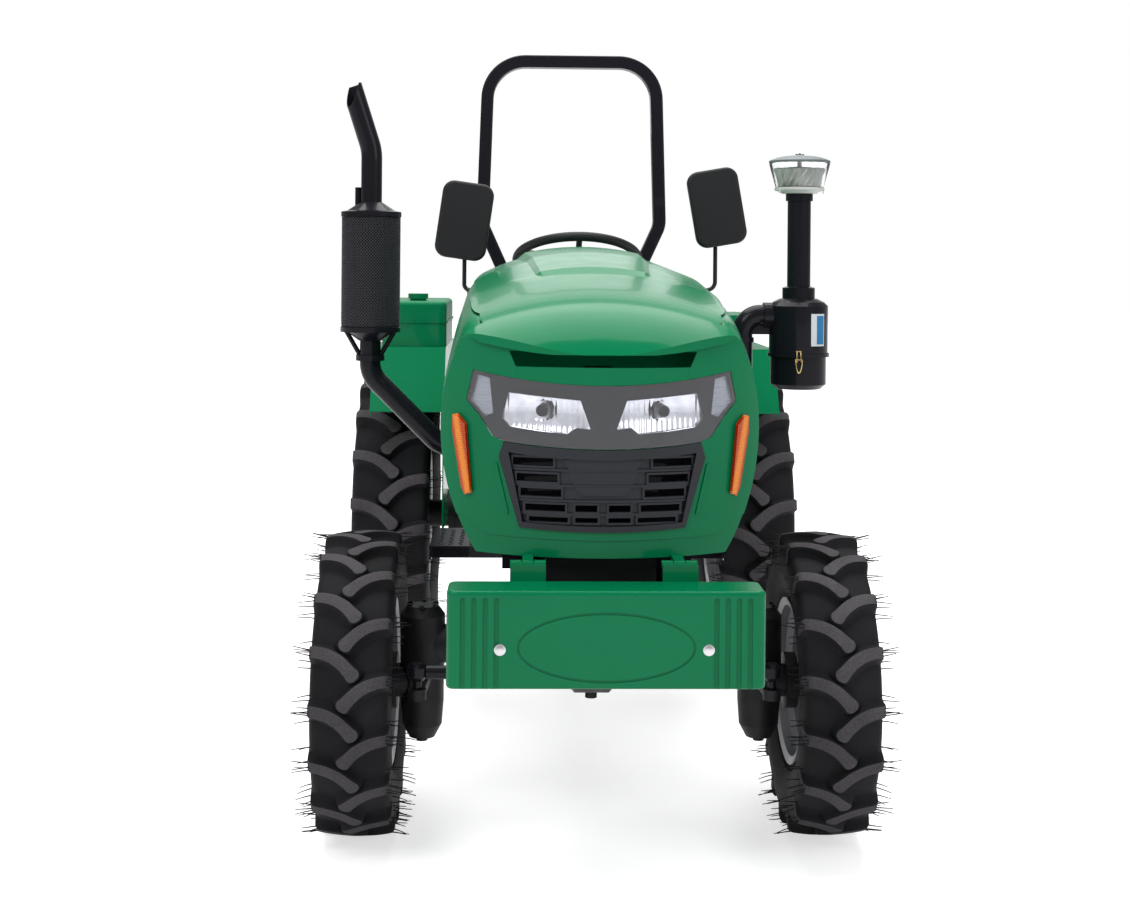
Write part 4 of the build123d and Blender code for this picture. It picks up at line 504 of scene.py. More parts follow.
# Half section, as shares: place over the tyre, carcass half width, carcass rise from bead to crown,
# lug-top half width, lug-top drop below the tyre's radius (in lug heights).
SECTION = [
    (-0.25, -0.24, 0.998, -0.24, 0.00),
    (0.0, 0.0, 1.0, 0.0, 0.0),
    (0.5, 0.485, 0.990, 0.485, 0.07),
    (0.85, 0.79, 0.966, 0.82, 0.22),
    (0.95, 0.86, 0.950, 0.905, 0.29),
    (1.0, 0.895, 0.932, 0.948, 0.38),
    (1.05, 0.925, 0.905, 0.972, 0.55),
    (1.15, 0.958, 0.855, 0.986, 1.05),
    (1.3, 0.983, 0.775, 0.993, 1.80),
    (1.45, 0.995, 0.69, 0.996, 2.60),
    (1.6, 1.0, 0.61, 0.998, 3.55),
    (1.8, 0.995, 0.50, 0.995, 4.6),
]
SIDEWALL = [  # share of the rise, share of the half width: from the widest place down to the rim's lip
    (0.61, 1.0), (0.50, 0.995), (0.40, 0.975), (0.30, 0.94), (0.22, 0.90), (0.155, 0.865), (0.12, 0.845),
]
RIDGES = [0.46, 0.44, 0.20]  # raised rings on the sidewall, as shares of the rise
RIDGE_HIGH = 0.008
TREAD_ROWS = 46
SIDE_ROWS = 30
BEAD_HIGH = 13.0 * MM  # the bead's foot over the rim's radius
LUG_RINGS = [  # distance out of the lug's edge in mm, height share
    (-2.2, 1.0), (-0.8, 0.985), (0.3, 0.93), (1.6, 0.76), (3.4, 0.50), (5.6, 0.27), (8.2, 0.10), (11.0, 0.0),
    (13.5, -0.12),
]


class TyreForm:
    """One tyre's sizes and the mapping from its spread-out tread to space."""

    def __init__(self, radius, width, bead, height, count, sides):
        self.radius, self.half, self.bead = radius, width / 2.0, bead
        self.height, self.count, self.sides = height, count, sides
        self.crown = radius - height
        self.reach = 0.97 * self.half

    def section(self, v):
        """The carcass and the lugs' tops, (x, r) each, at a signed place over the tyre."""
        side = -1.0 if v < 0 else 1.0
        x, rise, top_x, drop = eased(SECTION, abs(v))
        return ((side * x * self.half, self.bead + rise * (self.crown - self.bead)),
                (side * top_x * self.half, self.radius - drop * self.height))

    def spot(self, across, around, lift):
        """A point at this distance across and around the tread (m), lifted by a share of the lug height."""
        (kx, kr), (tx, tr) = self.section(across / self.reach)
        x, r = kx + lift * (tx - kx), kr + lift * (tr - kr)
        angle = around / self.radius
        return Vector((x, r * math.sin(angle), r * math.cos(angle)))


LUG_LINE = [  # share along the lug, place across (shares of the reach), lead round the tyre (of the pitch)
    (0.0, -0.105, 0.40),
    (0.25, 0.12, 0.245),
    (0.5, 0.37, 0.115),
    (0.75, 0.67, 0.03),
    (1.0, 1.02, 0.0),
    (1.3, 1.32, -0.01),
    (1.6, 1.60, -0.02),
]
LUG_WIDTH = [  # share along the lug, half width (shares of the pitch)
    (0.0, 0.132), (0.12, 0.122), (0.3, 0.108), (1.0, 0.106), (1.3, 0.090), (1.6, 0.055),
]
LUG_STEPS = 15
KNOB_STEPS = 8
KNOB_LONG = 0.85  # how far the knob's round end reaches, in half widths


def lug_outline(form, side, start):
    """The lug's edge on the spread-out tread: down one side, round the knob and back."""
    pitch = 2 * math.pi * form.radius / form.count
    left, right, middle_line = [], [], []
    for i in range(LUG_STEPS + 1):
        share = WIDEST * (1.0 - i / LUG_STEPS)
        across, lead = eased(LUG_LINE, share)
        ahead, lead_ahead = eased(LUG_LINE, min(share + 0.02, WIDEST))
        behind, lead_behind = eased(LUG_LINE, max(share - 0.02, 0.0))
        run = Vector(((ahead - behind) * form.reach, (lead_ahead - lead_behind) * pitch)).normalized()
        across_dir = Vector((-run.y, run.x))
        half = between(LUG_WIDTH, share)[0] * pitch
        spot = Vector((across * form.reach, lead * pitch))
        left.append(spot + across_dir * half)
        right.append(spot - across_dir * half)
        middle_line.append(spot)
    knob = []
    tip, run = middle_line[-1], (middle_line[-1] - middle_line[-2]).normalized()
    half = between(LUG_WIDTH, 0.0)[0] * pitch
    normal = Vector((run.y, -run.x))
    sign = 1.0 if (left[-1] - tip).dot(normal) > 0 else -1.0
    for i in range(1, KNOB_STEPS):
        turn = math.pi * i / KNOB_STEPS
        knob.append(tip + run * half * KNOB_LONG * math.sin(turn) + normal * sign * half * math.cos(turn))
    edge = left + knob + right[::-1]
    return [Vector((side * p.x, start - p.y)) for p in edge], len(left), len(knob)


def add_lug(form, side, start, points, faces, indices):
    """One lug: rings of points out from its edge, falling from its top to the carcass."""
    edge, sides, knob = lug_outline(form, side, start)
    total = len(edge)
    base = len(points)
    for distance, lift in LUG_RINGS:
        for i, p in enumerate(edge):
            before, after = edge[max(i - 1, 0)], edge[min(i + 1, total - 1)]
            run = (after - before).normalized()
            spot = p + Vector((-run.y, run.x)) * side * distance * MM
            points.append(form.spot(spot.x, spot.y, lift))
    for ring in range(len(LUG_RINGS) - 1):
        for i in range(total - 1):
            a = base + ring * total + i
            faces.append((a, a + 1, a + 1 + total, a + total))
            indices.append(1 if ring < 1 else 0)
    # The top: bands between the two long sides, then one face over the knob.
    for i in range(sides - 1):
        a, b = base + i, base + total - 1 - i
        c, d = base + i + 1, base + total - 2 - i
        faces.append((a, b, d, c))
        indices.append(1)
    ring = [base + sides - 1 + i for i in range(knob + 2)]
    faces.append(tuple(ring))
    indices.append(1)


HAIR_WIDE = 1.5 * MM
HAIR_ROWS = 4
HAIR_SIDES = 4


def add_hair(points, faces, indices, start, direction, length, droop):
    """A thin rubber vent hair, bent a little on its way."""
    aside = direction.cross(Vector((0.31, 0.52, 0.79))).normalized()
    other = direction.cross(aside).normalized()
    base = len(points)
    for row in range(HAIR_ROWS + 1):
        share = row / HAIR_ROWS
        spot = start + direction * length * share + droop * (share ** 2)
        size = HAIR_WIDE * (1.0 - 0.45 * share)
        for turn in round_of(HAIR_SIDES):
            points.append(spot + aside * size * math.cos(turn) + other * size * math.sin(turn))
    tip = base + HAIR_ROWS * HAIR_SIDES
    hair = bands(HAIR_ROWS + 1, HAIR_SIDES, False, base) + [tuple(range(tip, tip + HAIR_SIDES))]
    faces += hair
    indices += [0] * len(hair)


def carcass_section(form):
    """The whole section (x, r): one bead, sidewall, tread, sidewall, other bead."""
    tread = [form.section(-WIDEST + 2 * WIDEST * i / TREAD_ROWS)[0] for i in range(TREAD_ROWS + 1)]
    side = []
    for i in range(1, SIDE_ROWS + 1):
        rise = WIDEST_RISE + (LIP_RISE - WIDEST_RISE) * i / SIDE_ROWS
        width = eased([(-a, b) for a, b in SIDEWALL], -rise)[0]
        for ridge in RIDGES:
            width += RIDGE_HIGH * math.exp(-((rise - ridge) / RIDGE_HIGH) ** 2)
        side.append((width * form.half, form.bead + rise * (form.crown - form.bead)))
    lip = form.bead + BEAD_HIGH
    side += [(0.785 * form.half, lip + 1.2 * MM), (0.722 * form.half + 4.2 * MM, lip - 1.0 * MM),
             (0.716 * form.half, form.bead + 0.4 * MM)]
    return [(-x, r) for x, r in side[::-1]] + tread + side


def add_hairs(form, chance, centre, mirror, starts, points, faces, indices):
    """Vent hairs at the shoulders, kept off the floor and inside the model's width."""
    pitch = 2 * math.pi * form.radius / form.count
    for start, hand in starts:
        for place, offset, lift in HAIR_SPOTS:
            length = HAIR_LONG * chance.uniform(0.7, 1.1)
            root = form.spot(hand * place * form.reach, start + offset * pitch, lift)
            radial = Vector((0, root.y, root.z)).normalized()
            outward = Vector((float(hand), 0, 0))
            stray = Vector((0, *[chance.uniform(-HAIR_STRAY, HAIR_STRAY) for _ in "yz"]))
            direction = (outward * (1 - HAIR_LEAN) + radial * HAIR_LEAN + stray).normalized()
            tip = root + direction * length
            reach = abs(centre.x + (-tip.x if mirror else tip.x))
            over_floor = root.z + centre.z > ROOT_OVER_FLOOR and tip.z + centre.z > TIP_OVER_FLOOR
            if over_floor and reach < CAD_BOX[1][0] - HAIR_INSIDE:
                droop = Vector((0, 0, chance.uniform(-0.004, 0.002)))
                add_hair(points, faces, indices, root - direction * HAIR_ROOT, direction, length, droop)


def make_tyre(node, body, mirror, form, chance):
    """A tyre that stands for the CAD one: carcass, lugs and hairs."""
    centre = middle(node)
    points, faces, indices = [], [], []
    section = carcass_section(form)
    rows = len(section)
    for k in range(form.sides):
        angle = 2 * math.pi * k / form.sides
        for x, r in section:
            points.append(Vector((x, r * math.sin(angle), r * math.cos(angle))))
    for k in range(form.sides):
        after = (k + 1) % form.sides
        for i in range(rows - 1):
            faces.append((k * rows + i, k * rows + i + 1, after * rows + i + 1, after * rows + i))
            indices.append(0)
    pitch = 2 * math.pi * form.radius / form.count
    bottom = math.pi * form.radius + LUG_LINE[0][2] * pitch
    starts = [(bottom + pitch * (k + 0.25 * (1 - hand)), hand) for k in range(form.count) for hand in (1, -1)]
    for start, hand in starts:
        add_lug(form, hand, start, points, faces, indices)
    add_hairs(form, chance, centre, mirror, starts, points, faces, indices)
    if mirror:
        points = [Vector((-p.x, p.y, p.z)) for p in points]
    mesh = mesh_from(node + "_rubber", points, faces, [MATERIALS["tyre_rubber"], LUG_RUBBER], indices)
    tidy_normals(mesh)
    piece = new_object(node + "_rubber", mesh)
    piece.location = centre
    place_piece(piece, body, "tyre_rubber", node)


RIM_LIP = 0.5 * MM
HAIR_STRAY = 0.16
HAIR_ROOT = 2 * MM  # how deep a hair's root sits in the rubber
HAIR_INSIDE = 0.002  # hairs end this far inside the model's width
ROOT_OVER_FLOOR = 0.012
TIP_OVER_FLOOR = 0.006
HAIR_LONG = 38 * MM
HAIR_LEAN = 0.10  # how much a hair leans to the tread's side
HAIR_SPOTS = [  # place over the tyre, place round it from a lug's start (pitches), share of the lug's height
    (1.0, 0.0, 1.0), (1.06, 0.05, 0.9), (1.0, -0.06, 1.0), (1.12, 0.25, 0.0), (1.2, -0.25, 0.0),
    (1.45, 0.12, 0.4), (1.3, -0.12, 0.2),
]
TYRES = [  # axle, lug height, lugs a side, sides round the tyre, seed of its hairs
    ("front", 22 * MM, 17, 136, 7),
    ("rear", 28 * MM, 19, 152, 11),
]
for axle, height, count, sides, seed in TYRES:
    low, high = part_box(axle + "_tyre_left")
    rim_low, rim_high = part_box(axle + "_rim_left")
    bead = (rim_high.z - rim_low.z) / 2.0 - RIM_LIP
    form = TyreForm((high.z - low.z) / 2.0, high.x - low.x, bead, height, count, sides)
    for hand in ("left", "right"):
        make_tyre(axle + "_tyre_" + hand, "wheel_" + axle + "_" + hand, hand == "right", form,
                  random.Random(seed))

# ---- headlamps
NOSE_R = 470 * MM
BULB = (126 * MM, 1016 * MM)
BULB_DEEP = 32 * MM
# Outlines of the lamp's bowl and its outer strip, mm: x and height, from the middle outwards.
BOWL_TOP = [(27, 981), (48, 1040), (122, 1046), (196, 1053), (209, 1000)]
BOWL_LOW = [(27, 981), (57, 984), (74, 971), (136, 976), (192, 983), (209, 1000)]
STRIP_TOP = [(228, 1082), (236, 1082), (262, 1088), (276, 1032)]
STRIP_LOW = [(228, 1008), (244, 1001), (276, 1032)]
PANEL_SKIN = 1.2 * MM
PANEL_EDGE = 0.5  # panels end this far inside their outlines, mm
LEAST_HIGH = 0.4
RIB_FREE = 26 * MM  # no ribs this near the bulb
RIB_PITCH = 11 * MM
STRIP_PITCH = 7 * MM
BEZEL_DEEP = 6.0 * MM
BEZEL_R = 1.5 * MM
BULB_SHIELD = [  # radius and distance ahead of the bulb's seat, mm
    (12.4, 0), (12.6, 9), (11.6, 10.5), (10.2, 10.2), (9.4, 6), (7.2, 5), (6.9, 12.5), (5.6, 15.5),
    (2.5, 17.2), (0.4, 17.6),
]


def nose_spot(x, z, depth):
    """A point this deep under the nose's rounded face."""
    radius = NOSE_R - depth
    return Vector((x, FRONT_Y - math.sqrt(radius * radius - x * x), z))


def nose_panel(side, top, low, across, high, depth_at):
    """A pressed panel on the nose between two outlines (mm), with its back and edges."""
    x0, x1 = top[0][0] + 0.6, top[-1][0] - 0.6
    points, faces = [], []
    step = (across + 1) * (high + 1)
    for layer in (0.0, PANEL_SKIN):
        base = len(points)
        for i in range(across + 1):
            x = x0 + (x1 - x0) * i / across
            z0, z1 = between(low, x)[0] + PANEL_EDGE, between(top, x)[0] - PANEL_EDGE
            z1 = max(z1, z0 + LEAST_HIGH)
            for j in range(high + 1):
                z = z0 + (z1 - z0) * j / high
                edge = min(j, high - j, i, across - i) == 0
                points.append(nose_spot(side * x * MM, z * MM, depth_at(x * MM, z * MM, edge) + layer))
        for i in range(across):
            for j in range(high):
                a = base + i * (high + 1) + j
                faces.append((a, a + 1, a + high + 2, a + high + 1))
    rim = [i * (high + 1) for i in range(across + 1)]
    rim += [across * (high + 1) + j for j in range(1, high + 1)]
    rim += [i * (high + 1) + high for i in range(across - 1, -1, -1)] + list(range(high - 1, 0, -1))
    for a, b in zip(rim, rim[1:] + rim[:1]):
        faces.append((a, b, b + step, a + step))
    return points, faces


def bowl_depth(x, z, edge):
    """A reflector, deepest at the bulb and ribbed away from it."""
    away = math.hypot((x - BULB[0]) * 0.92, (z - BULB[1]) * 1.25)
    depth = 35.0 * MM - 3.3 * away * away
    if away > RIB_FREE:
        depth -= 1.1 * MM * abs(math.sin(math.pi * x / RIB_PITCH))
    return max(depth, 6.5 * MM)


def strip_depth(x, z, edge):
    """A lamp strip, ribbed across inside its edge."""
    return 8.0 * MM + (0.0 if edge else 1.6 * MM * abs(math.sin(math.pi * z / STRIP_PITCH)))


def bezel_line(side):
    """The bowl's outline on the nose, in short steps."""
    outline = BOWL_TOP + BOWL_LOW[-2:0:-1]
    line = []
    for (xa, za), (xb, zb) in zip(outline, outline[1:] + outline[:1]):
        steps = max(2, int(math.hypot(xb - xa, zb - za) / 6))
        for i in range(steps):
            x, z = xa + (xb - xa) * i / steps, za + (zb - za) * i / steps
            line.append(nose_spot(side * x * MM, z * MM, BEZEL_DEEP))
    return line + line[:1]


def lamp_piece(name, form, material):
    add_piece(name, [form], "hood", "lamp_silver", look=material)


for side, hand in ((1, "left"), (-1, "right")):
    lamp_piece("reflector_" + hand, nose_panel(side, BOWL_TOP, BOWL_LOW, 150, 30, bowl_depth), REFLECTOR)
    lamp_piece("lamp_bezel_" + hand, pipe(bezel_line(side), BEZEL_R), REFLECTOR)
    seat = nose_spot(side * BULB[0], BULB[1], BULB_DEEP)
    lamp_piece("bulb_" + hand, turned(in_mm(BULB_SHIELD), seat, (side * 0.12, -1, 0), 36), BULB_GREY)
    lamp_piece("lamp_strip_" + hand, nose_panel(side, STRIP_TOP, STRIP_LOW, 24, 90, strip_depth), STRIP_CLEAR)
dress("headlamps", "lamp_dark")

# ---- exhaust guard
MUFFLER = Vector((-548 * MM, FRONT_Y + 270 * MM, 0))
GUARD_R = 72.6 * MM
GUARD_Z = (1158.5 * MM, 1433.5 * MM)
GUARD_AROUND, GUARD_ROWS = 62, 68
GUARD_HOLE = 0.70  # a hole's share of its diamond
GUARD_LEAN = 0.5 * MM  # each strand stands a little askew, as in slit and drawn sheet


def make_guard():
    """The slitted, diamond-meshed guard round the muffler."""
    step = (GUARD_Z[1] - GUARD_Z[0]) / GUARD_ROWS
    half_turn = math.pi / GUARD_AROUND
    points, faces = [], []
    for row in range(1, GUARD_ROWS):
        for centre_turn in round_of(GUARD_AROUND, 0.5 * (row % 2)):
            base = len(points)
            for share in (1.0, GUARD_HOLE):
                for dt, dz in ((0, -1), (1, 0), (0, 1), (-1, 0)):
                    turn = centre_turn + dt * half_turn * share
                    r = GUARD_R + (GUARD_LEAN if dz > 0 else -GUARD_LEAN) * share
                    z = GUARD_Z[0] + row * step + dz * step * share
                    points.append(MUFFLER + Vector((r * math.cos(turn), r * math.sin(turn), z)))
            for i in range(4):
                j = (i + 1) % 4
                faces.append((base + i, base + j, base + 4 + j, base + 4 + i))
    piece = new_object("muffler_guard", mesh_from("muffler_guard", points, faces, [GUARD_BLACK]))
    weld = piece.modifiers.new("weld", "WELD")
    weld.merge_threshold = 0.0002
    thick = piece.modifiers.new("thick", "SOLIDIFY")
    thick.thickness = 0.0009
    thick.offset = 0.0
    place_piece(piece, "chassis", "black_paint")


make_guard()

# ---- air intake
INTAKE = Vector((552 * MM, FRONT_Y + 400 * MM, 0))
CAN_R = 76 * MM
BOWL_Z = 1506.3 * MM
# Turned forms of the precleaner: radius and height over its foot, mm.
BOWL_WALL = [(58, 16), (62, 16.2), (78.5, 77), (77.8, 80), (74.8, 80), (59.4, 19), (58, 19)]
BASE_RING = [(31, 0.4), (46, 1), (48, 4), (60, 8), (64, 9), (65, 12), (64.5, 16), (50, 17.4), (31, 17.6)]
BASE_CLIP = [(63, 13), (66.5, 8), (66, 2), (64, 0.9)]
CLIP_TURNS = (-2.6, -0.55, 1.57)
CORE = [(33, 17), (35, 17.5), (36, 62), (30, 64), (6, 65), (5, 92), (4.6, 92)]
LID = [(30, 80.6), (79.2, 80.4), (79.9, 82.5), (79.5, 85.5), (77, 87.5), (72, 89.5), (60, 94), (44, 97.5),
       (24, 99.6), (11, 100.2), (9, 101.6), (3, 102)]
NUT = [(7, 99.6), (7, 102.6), (3.2, 103), (3.1, 105.4), (2.2, 105.9)]
NUT_WING = [(4, 101.4), (8, 102.6), (11, 103.4)]
VANES = 16
VANE = [(36, 20, 0), (56, 20, 0.0), (68, 62, 0.5), (36, 62, 0.5)]  # radius, height, turn
VANE_HALF = 0.6
BOX_FACES = [(0, 1, 2, 3), (7, 6, 5, 4), (0, 4, 5, 1), (1, 5, 6, 2), (2, 6, 7, 3), (3, 7, 4, 0)]


def on_intake(r, turn, z, aside=0.0):
    """A point round the precleaner's axis, mm over its foot."""
    x = r * math.cos(turn) - aside * math.sin(turn)
    y = r * math.sin(turn) + aside * math.cos(turn)
    return INTAKE + Vector((x * MM, y * MM, BOWL_Z + z * MM))


def upright(profile):
    return turned([(r * MM, BOWL_Z + z * MM) for r, z in profile], INTAKE, (0, 0, 1), 56)


clips = [pipe([on_intake(r, turn, z) for r, z in BASE_CLIP], 1.6 * MM) for turn in CLIP_TURNS]
vanes = [([on_intake(r, turn + lag, z, half) for half in (-VANE_HALF, VANE_HALF) for r, z, lag in VANE],
          BOX_FACES) for turn in round_of(VANES)]
wings = [pipe([on_intake(way * x, 0.0, z) for x, z in NUT_WING], [2.0 * MM, 1.8 * MM, 1.3 * MM])
         for way in (1, -1)]
add_piece("precleaner_bowl", [upright(BOWL_WALL)], "chassis", "bowl", "precleaner")
add_piece("precleaner_base", [upright(BASE_RING)] + clips, "chassis", "bowl", look=PALE_PLASTIC)
add_piece("precleaner_vanes", vanes + [upright(CORE)], "chassis", "bowl", look=PALE_PLASTIC)
add_piece("precleaner_lid", [upright(LID)], "chassis", "bowl", look=LID_GREY)
add_piece("precleaner_nut", [upright(NUT)] + wings, "chassis", "soft_black")

# The canister's latch: distance off its wall, place across, height, mm.
LATCH_TURN = -1.72
LATCH_FACE = Vector((math.cos(LATCH_TURN), math.sin(LATCH_TURN), 0))
LATCH_SIDE = Vector((-math.sin(LATCH_TURN), math.cos(LATCH_TURN), 0))
LATCH_WIRES = [[(2, x, 1100), (5, x, 1094), (6.5, x, 1084), (5, x, 1072)] for x in (-5, 5)]
LATCH_LOOP = [(5.5, -8, 1080), (7.5, -7.5, 1066), (7.5, -4, 1050), (7, 0, 1045), (7.5, 4, 1050),
              (7.5, 7.5, 1066), (5.5, 8, 1080)]


def on_can(away, across, z):
    return INTAKE + LATCH_FACE * (CAN_R + away * MM) + LATCH_SIDE * across * MM + Vector((0, 0, z * MM))


latch = [pipe(curve_points([on_can(*p) for p in wire], 10), 1.3 * MM) for wire in LATCH_WIRES]
latch.append(pipe([on_can(3, -7, 1100), on_can(3.4, 7, 1100)], 1.8 * MM))
latch.append(pipe(curve_points([on_can(*p) for p in LATCH_LOOP], 30), 1.9 * MM))
latch.append(pipe([on_can(6, -9, 1079), on_can(6, 9, 1079)], 2.2 * MM))
add_piece("canister_latch", latch, "chassis", "bright_steel", look=GILT)

LABEL_STEPS = 14
LABEL_T = 0.5 * MM
LABELS = [  # a blank sticker, white with a blue field: first and last turn, heights in mm, lift, finish
    ("label_white", -1.30, -0.72, 1113, 1196, 0.3 * MM, LABEL_WHITE),
    ("label_blue", -1.08, -0.76, 1118, 1191, 0.75 * MM, LABEL_BLUE),
]
for name, turn0, turn1, z0, z1, lift, material in LABELS:
    points, faces = [], []
    for layer in (lift, lift + LABEL_T):
        for i in range(LABEL_STEPS + 1):
            t = turn0 + (turn1 - turn0) * i / LABEL_STEPS
            r = CAN_R + layer
            points += [INTAKE + Vector((r * math.cos(t), r * math.sin(t), z * MM)) for z in (z0, z1)]
    half = 2 * (LABEL_STEPS + 1)
    for base in (0, half):
        faces += [(a, a + 1, a + 3, a + 2) for a in range(base, base + 2 * LABEL_STEPS, 2)]
    rim = list(range(0, half, 2)) + list(range(half - 1, 0, -2))
    faces += [(a, b, b + half, a + half) for a, b in zip(rim, rim[1:] + rim[:1])]
    add_piece(name, [(points, faces)], "chassis", "soft_black", look=material)

# ---- bolts and nuts
BUMPER_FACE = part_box("bumper")[0].y
BUMPER_BOLTS = (-208, 200)
BUMPER_BOLT_Z = 570
BUMPER_BOLT = [(11.5, -0.5), (11.5, 0.7), (10.8, 1.0), (8.2, 1.1), (8.0, 2.0), (6.6, 2.5), (0.5, 2.6)]
bolts = [turned(in_mm(BUMPER_BOLT), (x * MM, BUMPER_FACE, BUMPER_BOLT_Z * MM), (0, -1, 0), 28)
         for x in BUMPER_BOLTS]
add_piece("bumper_bolts", bolts, "chassis", "bright_steel")

SEARCH = 0.4  # how far off a surface is looked for
BOLT_SINK = 0.3 * MM


def surface(node, start, run):
    """Where a line meets a CAD node's surface."""
    hit, place = NODES[node].ray_cast(Vector(start), Vector(run))[:2]
    return place if hit else None


def bolt_ring(name, node, body, centre, axis, circle, count, size, slot, spin=0.0):
    """Bolt heads in a ring, each seated on the node's surface."""
    along, aside, other = frame_for(axis)
    parts = []
    for turn in round_of(count):
        spot = Vector(centre) + (aside * math.cos(turn + spin) + other * math.sin(turn + spin)) * circle
        seat = surface(node, spot + along * SEARCH, -along)
        if seat is not None:
            parts += hex_bolt(seat - along * BOLT_SINK, along, size)
    if parts:
        add_piece(name, parts, body, slot)


WHEEL_NUTS = [  # axle, bolt circle, count, half width of a nut
    ("front", 61 * MM, 5, 10 * MM),
    ("rear", 84 * MM, 6, 12 * MM),
]
HUB_SCREWS = 0.42  # the hub screws' circle as a share of the nuts'
AXLE_CAP_X = 395 * MM
EXHAUST_PORT_X = -230 * MM
for axle, circle, count, size in WHEEL_NUTS:
    for side, hand in ((1, "left"), (-1, "right")):
        node, body = axle + "_rim_" + hand, "wheel_" + axle + "_" + hand
        for kind, *sizes in (("_wheel_nuts_", circle, count, size, "bright_steel", 0.3),
                             ("_hub_screws_", HUB_SCREWS * circle, 4, 5 * MM, "black_paint", 0.5)):
            bolt_ring(axle + kind + hand, node, body, middle(node), (side, 0, 0), *sizes)
for side, hand in ((1, "left"), (-1, "right")):
    bolt_ring("axle_cap_bolts_" + hand, "front_axle", "front_axle", (side * AXLE_CAP_X, FRONT_Y, 0.4),
              (0, 0, 1), 34 * MM, 6, 6 * MM, "black_paint")
bolt_ring("exhaust_port_bolts", "exhaust", "chassis", (EXHAUST_PORT_X, MUFFLER.y, 0.0), (-1, 0, 0), 28 * MM,
          4, 5 * MM, "bright_steel", 0.8)

# ---- platform tread
TREAD_STEP = 30 * MM
TREAD_LONG, TREAD_WIDE, TREAD_HIGH = 10 * MM, 2.6 * MM, 1.8 * MM
TREAD_RINGS = [(1.0, -0.3 * MM), (1.0, 0.3 * TREAD_HIGH), (0.6, TREAD_HIGH)]  # share of its size, height
LOZENGE = [(1, 0), (0.45, 1), (-0.45, 1), (-1, 0), (-0.45, -1), (0.45, -1)]
FEELERS = [(0, 0), (TREAD_LONG, 0), (-TREAD_LONG, 0), (0, TREAD_LONG), (0, -TREAD_LONG)]
FLAT = 0.2 * MM  # a lozenge is left out where the plate isn't this flat


def tread_lozenge(spot, turn):
    """One raised lozenge on the plate."""
    along = Vector((math.cos(turn), math.sin(turn), 0)) * TREAD_LONG
    aside = Vector((-math.sin(turn), math.cos(turn), 0)) * TREAD_WIDE
    points = [spot + (along * a + aside * b) * share + Vector((0, 0, rise))
              for share, rise in TREAD_RINGS for a, b in LOZENGE]
    return points, bands(len(TREAD_RINGS), len(LOZENGE))


low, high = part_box("platform")
treads = []
for i in range(1, int((high.x - low.x) / TREAD_STEP)):
    for j in range(1, int((high.y - low.y) / TREAD_STEP)):
        x, y = low.x + i * TREAD_STEP, low.y + j * TREAD_STEP
        spots = [surface("platform", (x + dx, y + dy, high.z + 0.1), (0, 0, -1)) for dx, dy in FEELERS]
        if None in spots or max(s.z for s in spots) - min(s.z for s in spots) > FLAT:
            continue
        treads.append(tread_lozenge(spots[0], math.radians(45 if (i + j) % 2 else -45)))
add_piece("platform_tread", treads, "chassis", "black_paint")

# ---- mirrors
MIRRORS = [(-335, 1440, -8, "right"), (392, 1484, 10, "left")]  # x, z, lean in degrees
GLASS_RINGS = [(1.0, -1.0), (0.985, 0.2), (0.6, 0.7), (0.0, 0.9)]  # share of the outline, mm out
MIRROR_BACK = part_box("mirrors")[1].y
for x, z, lean, hand in MIRRORS:
    turn = math.radians(lean)
    outline = rounded(62.0, 99.0, 22.0)
    points = [Vector(((x + share * (px * math.cos(turn) - pz * math.sin(turn))) * MM, MIRROR_BACK + out * MM,
                      (z + share * (px * math.sin(turn) + pz * math.cos(turn))) * MM))
              for share, out in GLASS_RINGS for px, pz in outline]
    form = (points, bands(len(GLASS_RINGS), len(outline), closed=False))
    add_piece("mirror_glass_" + hand, [form], "chassis", "bright_steel", look=MIRROR)

# ---- seat
PAD_SHRINK = 12 * MM  # a cushion starts this much smaller all round
PAD_TRAVEL = 24 * MM  # no point of it moves further than this
PAD_VOXEL = 6 * MM
PAD_PRESSURE = 4.0
PAD_STIFF = 12.0
PAD_FRAMES = 20


def cushion(name, low, high, corner):
    """A padded cushion: a rounded block remeshed and blown up as cloth, its travel capped."""
    build = bmesh.new()
    bmesh.ops.create_cube(build, size=1.0)
    size, centre = high - low, (high + low) / 2.0
    for vertex in build.verts:
        vertex.co = Vector([centre[i] + vertex.co[i] * (size[i] - 2 * PAD_SHRINK) for i in range(3)])
    bmesh.ops.bevel(build, geom=build.edges[:], offset=corner, segments=4, affect="EDGES", profile=0.6)
    mesh = bpy.data.meshes.new(name)
    build.to_mesh(mesh)
    build.free()
    mesh.materials.append(MATERIALS["seat_vinyl"])
    piece = new_object(name, mesh)
    bpy.context.view_layer.objects.active = piece
    piece.select_set(True)
    grid = piece.modifiers.new("grid", "REMESH")
    grid.mode = "VOXEL"
    grid.voxel_size = PAD_VOXEL
    bpy.ops.object.modifier_apply(modifier="grid")
    before = [vertex.co.copy() for vertex in piece.data.vertices]
    cloth = piece.modifiers.new("cloth", "CLOTH")
    settings = cloth.settings
    settings.use_pressure = True
    settings.uniform_pressure_force = PAD_PRESSURE
    settings.effector_weights.gravity = 0.0
    settings.tension_stiffness = settings.compression_stiffness = PAD_STIFF
    cloth.point_cache.frame_start, cloth.point_cache.frame_end = 1, PAD_FRAMES
    for frame_number in range(1, PAD_FRAMES + 1):
        bpy.context.scene.frame_set(frame_number)
    bpy.ops.object.modifier_apply(modifier="cloth")
    bpy.context.scene.frame_set(1)
    for vertex, was in zip(piece.data.vertices, before):
        moved = vertex.co - was
        if moved.length > PAD_TRAVEL:
            moved = moved * (PAD_TRAVEL / moved.length)
        spot = was + moved
        vertex.co = Vector([min(max(spot[i], low[i]), high[i]) for i in range(3)])
    return piece


